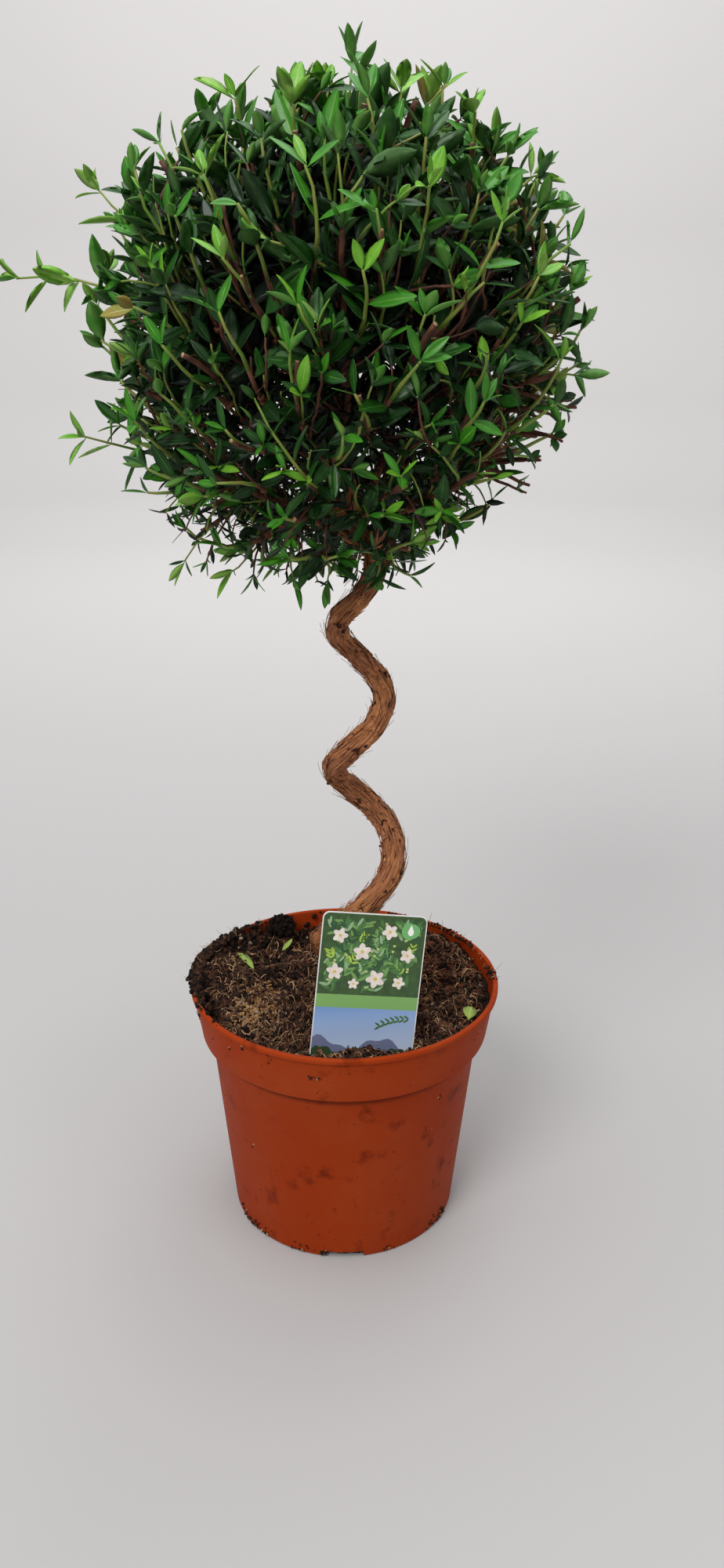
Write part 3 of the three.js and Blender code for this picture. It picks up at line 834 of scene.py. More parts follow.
def leaf_template(rows, columns):
    """Faces and slots of one leaf: the upper blade, and an underside that shares its edges."""
    quads, slots = [], []
    middle = (columns - 2) // 2
    for r in range(rows - 1):
        for c in range(columns - 1):
            a = r * columns + c
            quads.append((a, a + 1, a + columns + 1, a + columns))
            slots.append(RIB if columns % 2 == 0 and c == middle else BLADE)
    under = rows * columns
    for r in range(rows - 1):
        left, right, spine = r * columns, r * columns + columns - 1, under + r
        quads.append((left + columns, spine + 1, spine, left))
        quads.append((spine + 1, right + columns, right, spine))
        slots += [UNDERSIDE] * 2
    return np.array(quads), np.array(slots)


def leaf_mesh(name, data, form):
    """Many leaves as one mesh, from their rows."""
    upper = sheet_points(data, form, form["columns"], 0.0)
    spine = sheet_points(data, form, np.array([0.0]), -LEAF_THICKNESS)
    points = np.concatenate([upper, spine], axis=1)
    template, slots = leaf_template(len(form["rows"]), len(form["columns"]))
    starts = np.arange(len(data)) * points.shape[1]
    quads = (template[None, :, :] + starts[:, None, None]).reshape(-1, 4)
    return quad_mesh(name, points.reshape(-1, 3) * MM, quads, np.tile(slots, len(data)))


def leaf_pair(leaves, limb, share, pair, size, splay, kind):
    """Two leaves across from each other. Shears, bare wood and hollows leave some of them off."""
    root = limb.point(share)
    slim = DRESS[limb.order][1] * (0.78 + 0.22 * in_light(root))
    heading = limb.tangent(share)
    level = unit(np.cross(UP, heading) + 1e-6)
    quarter_turns = pair * math.pi / 2 + spread(0.2, 1.2, limb.key, USE["turn"])
    rng = np.random.default_rng((limb.key, pair))
    for side in (0, 1):
        differs = dict(zip(VARIETY, rng.uniform(-1, 1, len(VARIETY)) * list(VARIETY.values())))
        chance = rng.uniform()
        out = turned_about(level, heading, quarter_turns + side * math.pi + differs["turn"])
        angle = splay + differs["splay"]
        along = heading * math.cos(angle) + out * math.sin(angle)
        along = unit(along + UP * (0.08 + differs["lift"]))
        face = unit(heading - along * np.dot(heading, along) + UP * 0.3)
        face = unit(face - along * np.dot(face, along))
        face = turned_about(face, along, differs["roll"])
        long = size * (1 + differs["length"])
        wide = long * slim * (1 + differs["width"])
        tip = root + along * long
        free = limb.order in ("stray", "spur", "hanger")
        if near_stem(tip) or (not free and (beyond_clip(tip, limb.order) or chance < leaf_loss(tip))):
            continue
        leaves.take(kind, root, along, face, long, wide, 0.26 + differs["fold"], differs["curl"] - 0.07)


def in_light(point):
    """0 below, where leaves stay small and slender, and 1 in the light above."""
    return smoothstep(point[2], 395, 485)


def leaf_loss(point):
    """How likely a leaf is to be missing: high in a hollow and on the bare side."""
    for centre, radius in HOLLOWS:
        if np.linalg.norm(point - np.array(centre)) < radius:
            return HOLLOW_LOSS
    bare = float(np.dot(unit(point - HEART), BARE_SIDE))
    return BARE_LOSS * smoothstep(bare, 0.88, 0.95)


def beyond_clip(point, order):
    """Whether a leaf's tip would stand past the clipped face, the box of the solids or into the stem."""
    limit = LOOSE_LIMIT if order in ("sprig", "skirt") else CLOSE_LIMIT
    low, high = (np.array(corner) / MM for corner in CAD_BOX)
    outside = np.any(point < low - BOX_MARGIN) or np.any(point > high + BOX_MARGIN)
    return outside or depth_share(point) > limit or near_stem(point)


def depth_share(point):
    """0 at the crown's heart and 1 at the clipped face."""
    away = point - HEART
    far = np.linalg.norm(away)
    return far / clip_reach(away / far)


def dress(limb, leaves):
    """Opposite pairs of leaves along a limb, each a quarter turn on, smaller and brighter to the tip."""
    size, _, gap, bare = DRESS[limb.order]
    lit = in_light(limb.end)
    if limb.order != "stray":
        size *= (0.82 if limb.order == "sprig" else 0.66) * (1 - lit) + lit
        gap *= 0.78 * (1 - lit) + lit
    gap *= spread(0.85, 1.15, limb.key, USE["gap"])
    pairs = max(2, int(limb.length() * (1 - bare) / gap))
    if limb.order == "spur":
        pairs = 1
    growing = draw(limb.key, USE["growth"])
    for pair in range(pairs):
        share = bare + (1 - bare) * pair / max(1, pairs - 1) * 0.97
        near_tip = (pair + 1) / pairs
        long = size * (1 - 0.32 * near_tip**3) * spread(0.8, 1.12, limb.key, pair, USE["length"])
        splay = 1.24 - 0.42 * near_tip
        kind = leaf_kind(limb, near_tip, growing, depth_share(limb.point(share)), pair)
        leaf_pair(leaves, limb, share, pair, long, splay, kind)
    outside = limb.order not in ("spur", "skirt") and depth_share(limb.end) > 0.85
    if outside or limb.order in ("sprig", "stray"):
        kind = "tip" if growing > 0.55 else "fresh"
        leaf_pair(leaves, limb, 1.0, pairs, spread(8, 15, limb.key, USE["tip"]), 0.5, kind)


def leaf_kind(limb, near_tip, growing, depth, pair):
    """Painted shade inside and below; lighter near the tip and on a shoot in growth; painted light near the
    face and high up.
    """
    # Leaves inside, deep in the ball and most of the skirt below get the painted shade.
    if limb.order == "inner" or depth < 0.7 or (limb.order == "skirt" and growing < 0.6):
        return "painted_shade"
    if draw(limb.key, pair, USE["fading"]) < 0.01:
        return "faded"
    rise = limb.end[2] - HEART[2]
    # Youth comes from the tip and growth; depth and height add painted light, and the skirt is painted
    # darker.
    young = near_tip * 0.45 + growing * 0.5 + (depth - 0.86) * 1.2 + 0.0016 * rise
    young += {"sprig": 0.17, "stray": 0.4, "skirt": -0.3}.get(limb.order, -0.14)
    young += spread(-0.12, 0.12, limb.key, pair, USE["shade"])
    for kind, least in YOUTH_AND_PAINTED_LIGHT_ENOUGH:
        if young > least:
            return kind
    return "old"


def pruned_stubs(wood, cuts):
    """Twigs that the shears cut square, with pale ends, and a few of them on the bare side."""
    rng = np.random.default_rng(SEED)
    count, first_bare = 75, 70
    for n in range(count):
        key = STUB["key"] + n
        direction = even_direction(key)
        if n >= first_bare:
            direction = unit(BARE_SIDE + rng.normal(0, 0.2, 3))
        far = clip_reach(direction) * rng.uniform(0.84, 0.97)
        aim = HEART + direction * far
        if near_stem(aim):
            continue
        limb = shoot_to(owner_of(aim), aim, dict(STUB, radius=rng.uniform(0.8, 1.5)), key)
        limb_into(wood, limb.line(6), taper(limb.radius, loss=0.15), 8)
        heading = limb.tangent(1.0)
        face = np.array([limb.end + heading * 0.02, limb.end + heading * 0.14])
        limb_into(cuts, face, taper(limb.radius, 0.84, 0), 10)


def knots_and_whiskers(knots, wood, template):
    """The swollen red-brown joints that sprigs break from, and the fine dead leafstalks left low down."""
    rng = np.random.default_rng(SEED + 1)
    for limb in (limb for mass in MASSES for limb in mass.limbs):
        if limb.order == "sprig":
            for share in (0.0, 0.05, 0.12):
                size = rng.uniform(1.2, 2.1) * (1 - 3 * share)
                lump_into(knots, template, limb.point(share), size, rng, (0.7, 1.3))
        if limb.order in ("side", "skirt") and limb.end[2] < HEART[2] + 1 and rng.uniform() < 0.35:
            start = limb.point(rng.uniform(0.5, 1.0))
            away = unit(start - HEART) + rng.normal(0, 0.4, 3)
            end = start + unit(away) * rng.uniform(7, 13)
            middle = (start + end) / 2 + rng.normal(0, 1.2, 3)
            if not beyond_clip(end, "skirt"):
                limb_into(wood, Limb(start, middle, end).line(4), taper(0.26, loss=0.5), 4)


def limb_wood(limb, wood, green):
    """The shoot itself, brown or green. A sprig is brown wood at its root and green beyond."""
    steps, sides = (10, 8) if limb.order in ("stem", "branch") else (6, 5)
    centres = limb.line(steps)
    rng = np.random.default_rng(limb.key + 1)
    centres[1:] += 0.012 * limb.length() * rng.uniform(-1, 1, (steps, 3))
    if limb.order == "sprig":
        limb_into(wood, centres[:3], taper(limb.radius, 1.1, 0.12), sides)
        limb_into(green, centres[2:], taper(limb.radius, 0.94, 0.4), sides)
        return
    woody = limb.order in ("stem", "branch", "inner", "spur")
    brown = woody or (limb.order != "stray" and draw(limb.key, USE["brown"]) < 0.5)
    limb_into(wood if brown else green, centres, taper(limb.radius, loss=1 - TIP_SHARE), sides)


def build_crown(template):
    """Shoots, stubs, knots and leaves, each kind as one piece."""
    grow_crown()
    leaves = Leaves()
    wood, green, cuts, knots = Heap(), Heap(), Heap(), Heap()
    for mass in MASSES:
        for limb in mass.limbs:
            limb_wood(limb, wood, green)
            dress(limb, leaves)
    pruned_stubs(wood, cuts)
    knots_and_whiskers(knots, wood, template)
    knotted = plain("knotted_bark", "#5e2f1f", 0.75, patch_mm=3, second="#8c5438")
    young_bark = plain("young_bark", "#41231a", 0.75, patch_mm=6, second="#70432f")
    green_stem = plain("green_stem", "#688f30", 0.5, patch_mm=9, second="#8b8a42")
    cut_wood = plain("cut_wood", "#b89a6c", 0.8, patch_mm=2, second="#8f7148")
    replaced = [f"foliage_{mass.name}" for mass in MASSES]
    knots.piece("twig_knots", knotted, "bark", *replaced)
    wood.piece("twigs_woody", young_bark, "bark", *replaced)
    green.piece("shoots_green", green_stem, "leaves", *replaced)
    cuts.piece("cut_ends", cut_wood, "bark", *replaced)
    for kind, mesh in leaves.meshes():
        blade, second, rib, under, rough = LEAF_KINDS[kind]
        mesh.materials.append(leaf_skin(f"leaf_{kind}", blade, second, rough))
        mesh.materials.append(plain(f"midrib_{kind}", rib, 0.45, patch_mm=8, second=blade))
        mesh.materials.append(plain(f"leaf_underside_{kind}", under, 0.62, patch_mm=8, second=second))
        piece_of(mesh, "leaves", *replaced)


# Stem and boughs

def even_radius(share):
    """The stem's radius before its swellings, by the share of the way up."""
    return STEM["foot_radius"] + (STEM["tip_radius"] - STEM["foot_radius"]) * share


def share_up(height):
    """The share of the stem's way up, from the soil to the fork, that a height is."""
    return (height - STEM["foot"]) / (STEM["tip"] - STEM["foot"])


def round_limb(angle, across, along, aside=0.0):
    """A place in noise that closes round a limb. The larger across and along are, the finer the noise."""
    return Vector((math.cos(angle) * across + aside, math.sin(angle) * across, along))


def stem_radius(way, angle, length):
    """The stem's radius with its swellings, by the share of the way from its buried end."""
    height = max(0.0, way * (STEM["tip"] - STEM["foot"] + BURIED) - BURIED)
    share = height / (STEM["tip"] - STEM["foot"])
    radius = even_radius(share)
    radius += STEM["flare"] * math.exp(-height / STEM["flare_height"]) * (1 + 0.25 * math.cos(3 * angle))
    swell = noise.noise(round_limb(angle, 0.9, length / 13))
    ridge = noise.fractal(round_limb(angle, 3.4, length / 8), 0.7, 2.1, 4)
    # Flakes: the bark steps up where a layer has not yet peeled.
    flake = noise.noise(round_limb(angle, 2.6, length / 11, aside=7))
    ridge += 0.9 * smoothstep(flake, 0.02, 0.1) + 0.7 * smoothstep(flake, 0.26, 0.32)
    # Each knot is a swelling with a dimple in its middle.
    knots = 0.0
    for at, towards in KNOTS:
        round_way = math.remainder(angle - towards, TURN) * radius
        away = math.hypot(round_way, (share - at) * 300) / 3.2
        knots += 1.0 * math.exp(-(away**2)) - 1.1 * math.exp(-((away * 2.4) ** 2))
    shred = noise.noise(round_limb(angle, 7, length / 3.2))
    return radius + 0.6 * swell + 0.62 * ridge + 0.3 * shred - 0.45 + knots


def bough_radius(mass):
    """A bough's radius along its way, as a rule, with its ridges."""
    def radius_at(t, angle, length):
        ridge = noise.noise(round_limb(angle, 2, length / 6 + mass.height))
        return BOUGH["start_radius"] + (BOUGH["end_radius"] - BOUGH["start_radius"]) * t + 0.25 * ridge
    return radius_at


def build_wood():
    """The corkscrew stem and the boughs that leave it, as one piece of bark, and its strips."""
    bark = fibrous_bark()
    heap = Heap()
    steps, sides = ((420, 60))
    heights = np.linspace(STEM["foot"] - BURIED, STEM["tip"], steps + 1)
    limb_into(heap, np.array([stem_point(h) for h in heights]), stem_radius, sides)
    for mass in MASSES:
        bend = mass.tip - mass.axis * BOUGH["reach"] * 0.45
        bough = Limb(stem_point(mass.height), bend, mass.tip)
        limb_into(heap, bough.line(24), bough_radius(mass), 14)
    boughs = [f"bough_{mass.name}" for mass in MASSES]
    heap.piece("stem_and_boughs", bark, "bark", "trunk", *boughs)
    peel_strips(bark)


def stem_frame(height):
    """Centre, way along and two ways across the stem at a height."""
    centre = stem_point(height)
    along = unit(stem_point(height + 0.5) - stem_point(height - 0.5))
    across = unit(np.cross(along, np.array([0.0, 1.0, 0.0])))
    return centre, along, across, np.cross(along, across)


def peel_strips(bark):
    """Strips of bark that lift at one end, and fine hairs where it frays."""
    heap = Heap()
    rng = np.random.default_rng(SEEDS["strips"])
    steps, thick = 5, 0.18
    for n in range(380):
        height = rng.uniform(STEM["foot"] + 4, 378)
        angle = rng.uniform(0, TURN)
        hair = n % 3 == 0
        length = rng.uniform(4, 13)
        width = 0.2 if hair else rng.uniform(0.6, 3.0)
        lift = rng.uniform(1.0, 3.6) if hair else rng.uniform(0.3, 1.7)
        slant = rng.uniform(-0.12, 0.12)
        points = []
        for i in range(steps + 1):
            t = i / steps
            centre, _, first, second = stem_frame(height + (t - 0.5) * length)
            turn = angle + slant * i
            out = first * math.cos(turn) + second * math.sin(turn)
            side = -first * math.sin(turn) + second * math.cos(turn)
            far = even_radius(share_up(centre[2])) + 0.3 + lift * t * t
            half = width / 2 * (1 - 0.75 * t)
            for across, deep in ((-half, 0), (half, 0), (half, -thick), (-half, -thick)):
                points.append(centre + out * (far + deep) + side * across)
        faces = [(0, 1, 2, 3), tuple(steps * 4 + k for k in (3, 2, 1, 0))]
        for i in range(steps):
            for k in range(4):
                j = (k + 1) % 4
                faces.append((i * 4 + j, i * 4 + k, (i + 1) * 4 + k, (i + 1) * 4 + j))
        places = [(0.001 * i + 0.01 * n, 0.003 * row) for row in range(len(faces)) for i in range(4)]
        heap.take(points, faces, places)
    heap.piece("bark_strips", bark, "bark", smooth=False)


def bark_scars(template):
    """Dark crusts over the scars of the stem."""
    heap = Heap()
    rng = np.random.default_rng(SEEDS["scars"])
    for height, turn in SCARS:
        centre, along, _, _ = stem_frame(height)
        toward = turned_about(np.array([0.0, -1.0, 0.0]), UP, turn)
        out = unit(toward - along * np.dot(toward, along))
        for _ in range(12):
            place = centre + out * (even_radius(share_up(height)) - 0.1) + rng.normal(0, 0.75, 3)
            lump_into(heap, template, place, rng.uniform(0.45, 1.0), rng)
    heap.piece("bark_scars", peat("scar_tissue", "#24110b", "#5d3524", 2), "bark")


# Pot

def revolve(profile, segments, name):
    """A body of revolution: a round face is extruded and resized through the profile, closed at its ends."""
    deselect()
    radius, height = profile[0]
    bpy.ops.mesh.primitive_circle_add(
        vertices=segments, radius=radius * MM, fill_type="NGON", location=(0, 0, height * MM)
    )
    start_edit("FACE", "SELECT")
    extrude_rings(radius, height, profile[1:])
    end_edit()
    return settle(bpy.context.object, name)


def arc(centre, radius, start, end, steps):
    """Points of a round edge in an outline, from one angle to another in degrees."""
    angles = [math.radians(start + (end - start) * i / steps) for i in range(steps + 1)]
    return [(centre[0] + radius * math.cos(a), centre[1] + radius * math.sin(a)) for a in angles]


def pot_profile():
    """The pot's section from the middle of its underside, out, up, over the lip and down inside."""
    p = POT
    band_top = p["lip_radius"] - p["lip_proud"]
    lip = p["lip_radius"]
    under = [
        (p["hub"], 0.05), (p["hub"] + 0.4, 0.3), (p["hub"] + 1.5, p["floor_under"]),
        (p["foot_inner"], p["floor_under"]), (p["foot_inner"] + 1.2, 0.3), (p["foot_inner"] + 1.7, 0.05),
    ]
    outside = [
        (p["base"] - 1.1, 0.05), *arc((p["base"] - 1.1, 1.1), 1.05, -90, 0, 4),
        (p["shoulder"], BAND_FOOT - 0.8), (p["shoulder"] + 0.25, BAND_FOOT - 0.25),
        (p["band_foot"] - 0.7, BAND_FOOT), (p["band_foot"] - 0.1, BAND_FOOT + 0.5),
        (p["band_foot"] + 0.1, BAND_FOOT + 1.2), (band_top, LIP_FOOT - 0.3), (band_top + 0.3, LIP_FOOT),
        *arc((lip - 0.7, LIP_FOOT + 0.8), 0.7, -80, 0, 3),
        *arc((lip - 1.1, p["height"] - 1.1), 1.1, 0, 90, 5),
    ]
    inside = [
        *arc((lip - 1.9, p["height"] - 0.9), 0.9, 90, 180, 3), (band_top - p["wall"], LIP_FOOT),
        (p["band_foot"] - p["wall"], BAND_FOOT + 1.6),
        (p["shoulder"] - p["wall"], BAND_FOOT - 1.4), (p["base"] - p["wall"], p["floor_top"] + 1.5),
        (p["base"] - p["wall"] - 1.5, p["floor_top"]), (8, p["floor_top"]),
    ]
    return under + outside + inside


def cut_away(piece, tool, turn):
    """The piece loses what a cutting shape covers, once the shape is turned round the pot's axis."""
    settle(tool, "cutter")
    tool.data.transform(Matrix.Rotation(turn, 4, "Z"))
    activate(piece)
    cut = piece.modifiers.new("cut", "BOOLEAN")
    cut.operation = "DIFFERENCE"
    cut.object = tool
    cut.solver = "EXACT"
    bpy.ops.object.modifier_apply(modifier=cut.name)
    bpy.data.objects.remove(tool)


def build_pot():
    """The pot, with a notch in its foot and a drain hole in its floor at each quarter turn."""
    p = POT
    pot = revolve(pot_profile(), 160, "pot_shell")
    middle = (p["foot_inner"] + p["base"]) / 2
    for i in range(p["notches"]):
        turn = i / p["notches"] * TURN
        deselect()
        bpy.ops.mesh.primitive_cube_add(size=1, location=(0, (-middle - 3) * MM, 0))
        bpy.context.object.scale = (p["notch_width"] * MM, 18 * MM, 2 * p["notch_height"] * MM)
        cut_away(pot, bpy.context.object, turn)
        deselect()
        bpy.ops.mesh.primitive_cylinder_add(
            vertices=32, radius=p["drain_radius"] * MM, depth=12 * MM,
            location=(0, -p["drain_ring"] * MM, p["floor_top"] * MM),
        )
        cut_away(pot, bpy.context.object, turn)
    settle(pot, "pot_shell", moulded_polypropylene())
    bpy.ops.object.shade_smooth_by_angle(angle=math.radians(32))
    belong(pot, "pot_plastic", "pot")


def pot_outside(height):
    """Radius of the pot's outside at a height."""
    if height > LIP_FOOT:
        return POT["lip_radius"]
    if height > BAND_FOOT:
        share = (height - BAND_FOOT) / (LIP_FOOT - BAND_FOOT)
        return POT["band_foot"] + (POT["lip_radius"] - POT["lip_proud"] - POT["band_foot"]) * share
    return POT["base"] + (POT["shoulder"] - POT["base"]) * height / BAND_FOOT


def pot_inside(height):
    """Radius of the pot's inside at a height."""
    return pot_outside(min(height, LIP_FOOT)) - POT["wall"]


# Soil on the outside of the pot, most of it at the left front: angle in degrees, height, size, how many
# crumbs, and how far they scatter.
SOIL_MARKS = [
    (-101, 126.8, 0.9, 9, 1.9), (-98.6, 126.4, 0.8, 6, 1.4), (-96.8, 133.6, 0.5, 1, 0),
    (-98.8, 116.6, 0.6, 1, 0), (-146.8, 125.4, 0.7, 1, 0), (-135.1, 128.2, 0.8, 2, 0.5),
    (-161, 130, 1.5, 7, 1.8), (-165, 126, 0.9, 7, 2.6),
    (-172, 118, 0.6, 5, 3), (-115.8, 136.5, 0.6, 3, 0.8), (-116.2, 133, 0.5, 3, 0.8),
    (-116.6, 129.5, 0.7, 5, 1.1), (-62, 133, 0.45, 2, 2), (-30, 128, 0.5, 2, 2), (-150, 3, 1.0, 14, 5),
    (-141, 2.4, 1.1, 20, 6), (-132, 2.2, 0.9, 12, 5), (-112, 2.5, 1.1, 12, 5), (-98, 2.5, 0.9, 12, 3),
    (-68, 2.2, 0.8, 8, 4), (-80, 4.5, 0.6, 4, 3), (-31, 2.8, 1.1, 22, 5), (-38, 2.2, 0.9, 14, 5),
    (-128, 133.5, 1.0, 5, 1.4), (-133, 62, 0.7, 3, 2), (-45, 96, 0.8, 4, 1.6), (-50, 78, 0.5, 3, 3),
    (15, 60, 0.5, 3, 9), (120, 90, 0.5, 6, 22), (60, 40, 0.5, 5, 20),
]


def build_pot_dirt(template):
    """Crumbs in smears and a dried trickle, fine specks all round, and dark crumbs packed into the front
    notch, which paint the shade in its opening.
    """
    dark, light = Heap(), Heap()
    rng = np.random.default_rng(SEEDS["pot_dirt"])
    # A crumb's middle never comes nearer the floor than this.
    lowest = 1.4
    for degrees, height, size, count, scatter in SOIL_MARKS:
        for _ in range(count):
            at = max(lowest, height + scatter * rng.normal() * 0.5)
            radius = pot_outside(at)
            angle = math.radians(degrees) + scatter * rng.normal() * 0.5 / radius
            bit = 1.25 * size * rng.uniform(0.5, 1.0)
            heap = light if rng.uniform() < 0.12 else dark
            lump_into(heap, template, around(angle, radius + 0.1 * bit, at), bit * 0.62, rng)
    for _ in range(110):
        # Fine specks, more of them low down.
        at = 3 + 130 * rng.uniform() ** 1.4
        place = around(rng.uniform(0, TURN), pot_outside(at), at)
        lump_into(dark, template, place, rng.uniform(0.12, 0.36), rng)
    for _ in range(150):
        # Dark crumbs that fill the notch: painted shade in its opening.
        place = around(math.radians(rng.uniform(-101, -79)), rng.uniform(56.5, 61.8), rng.uniform(1.3, 2.9))
        lump_into(dark, template, place, rng.uniform(0.7, 1.25), rng)
    # This piece holds the real soil specks and the crumbs that paint the notch's shade.
    dark.piece("pot_specks_and_notch_shade", peat("dried_soil_and_notch_shade", "#26150d", "#4a2a1c", 2), "compost", smooth=False)
    light.piece("pot_grit", peat("pale_grit", "#a58a6a", "#c9b391", 2), "compost", smooth=False)


# Compost

def soil_height(x, y):
    """The surface with its heaps and hollows, as the solid has it."""
    swell = 1.1 * math.sin(x * 0.09 + 1) * math.cos(y * 0.08) + 0.8 * math.sin(x * 0.21 - y * 0.17)
    rises = sum(r * math.exp(-((x - cx) ** 2 + (y - cy) ** 2) / s**2) for cx, cy, r, s in SOIL_HEAPS)
    return SOIL_LEVEL + swell + rises


def clod_ridge(x, y):
    """Above 0 on the ridges of the clods, and below it in the pits between them."""
    return 0.35 - 2 * abs(noise.noise(Vector((x, y, 0)) / CLOD_SPACING))


def rough_soil(x, y):
    """The surface with its clods, and rough lumps from 5 mm down to 1.2 mm across."""
    at = Vector((x, y, 0))
    clods = 3.6 * clod_ridge(x, y)
    lumps = 2.0 * noise.noise(at / 5) + 1.4 * noise.noise(at / 2.5 + Vector((9, 4, 2)))
    grit = 0.5 * noise.noise(at / 1.2 + Vector((3, 8, 5)))
    edge = smoothstep(math.hypot(x, y), 74, 80)
    return soil_height(x, y) + (clods + lumps + grit) * (1 - 0.5 * edge) - 0.8 * edge


def build_compost():
    """The bed: a square grid drawn round to the pot's wall, roughened, and carried on down to the floor."""
    deselect()
    cells = 260
    wall_gap = 0.4
    bpy.ops.mesh.primitive_grid_add(x_subdivisions=cells, y_subdivisions=cells, size=2)
    piece = bpy.context.object
    for vertex in piece.data.vertices:
        u, v = vertex.co.x, vertex.co.y
        x = u * math.sqrt(max(0, 1 - v * v / 2))
        y = v * math.sqrt(max(0, 1 - u * u / 2))
        away = max(1e-6, math.hypot(x, y))
        edge = pot_inside(soil_height(x / away * SOIL_WALL, y / away * SOIL_WALL) - 1.5) - wall_gap
        x, y = x * edge, y * edge
        vertex.co = (x * MM, y * MM, rough_soil(x, y) * MM)
    start_edit("EDGE", "DESELECT")
    bpy.ops.mesh.select_non_manifold()
    # Radius and height of the body's rings, under the band, in the corner below it and over the floor.
    rings = ((77.4, BAND_FOOT + 2.4), (72.4, BAND_FOOT - 1.6), (60.5, POT["floor_top"] + wall_gap))
    extrude_rings(SOIL_WALL + 0.5, SOIL_LEVEL, rings, flatten=0.05)
    bpy.ops.mesh.edge_face_add()
    end_edit()
    # The body under the surface keeps inside the wall where the surface stands high and wide.
    for vertex in piece.data.vertices:
        away = math.hypot(vertex.co.x, vertex.co.y)
        for limit, ring_height in rings:
            if abs(vertex.co.z - ring_height * MM) < 1 * MM and away > limit * MM:
                vertex.co.x *= limit * MM / away
                vertex.co.y *= limit * MM / away
    compost = settle(piece, "compost_bed", peat("damp_peat", "#0c0704", "#291911", 4))
    bpy.ops.object.shade_smooth()
    belong(compost, "compost", "compost")


def lump_template():
    """A round pebble of 20 faces, taken from a primitive that is then removed."""
    deselect()
    bpy.ops.mesh.primitive_ico_sphere_add(subdivisions=1, radius=1)
    piece = bpy.context.object
    points = np.array([tuple(v.co) for v in piece.data.vertices])
    faces = [tuple(p.vertices) for p in piece.data.polygons]
    bpy.data.objects.remove(piece)
    return points, faces


def lump_into(heap, template, centre, size, rng, stretch=(0.6, 1.3), shape=None):
    """A crumb at a place. A shape gives its three half widths, and it then lies nearly flat."""
    points, faces = template
    widths = rng.uniform(*stretch, 3) if shape is None else shape
    scaled = points * widths * size * rng.uniform(0.85, 1.15, (len(points), 1))
    axis = Vector(rng.normal(size=3)) if shape is None else Vector((*rng.normal(0, 0.3, 2), 1))
    turn = Matrix.Rotation(rng.uniform(0, TURN), 3, axis)
    heap.take(list(centre + scaled @ np.array(turn)), faces)


def on_disc(limit, rng):
    """A place anywhere in a disc round the pot's axis."""
    radius = limit * math.sqrt(rng.uniform())
    angle = rng.uniform(0, TURN)
    return radius * math.cos(angle), radius * math.sin(angle)


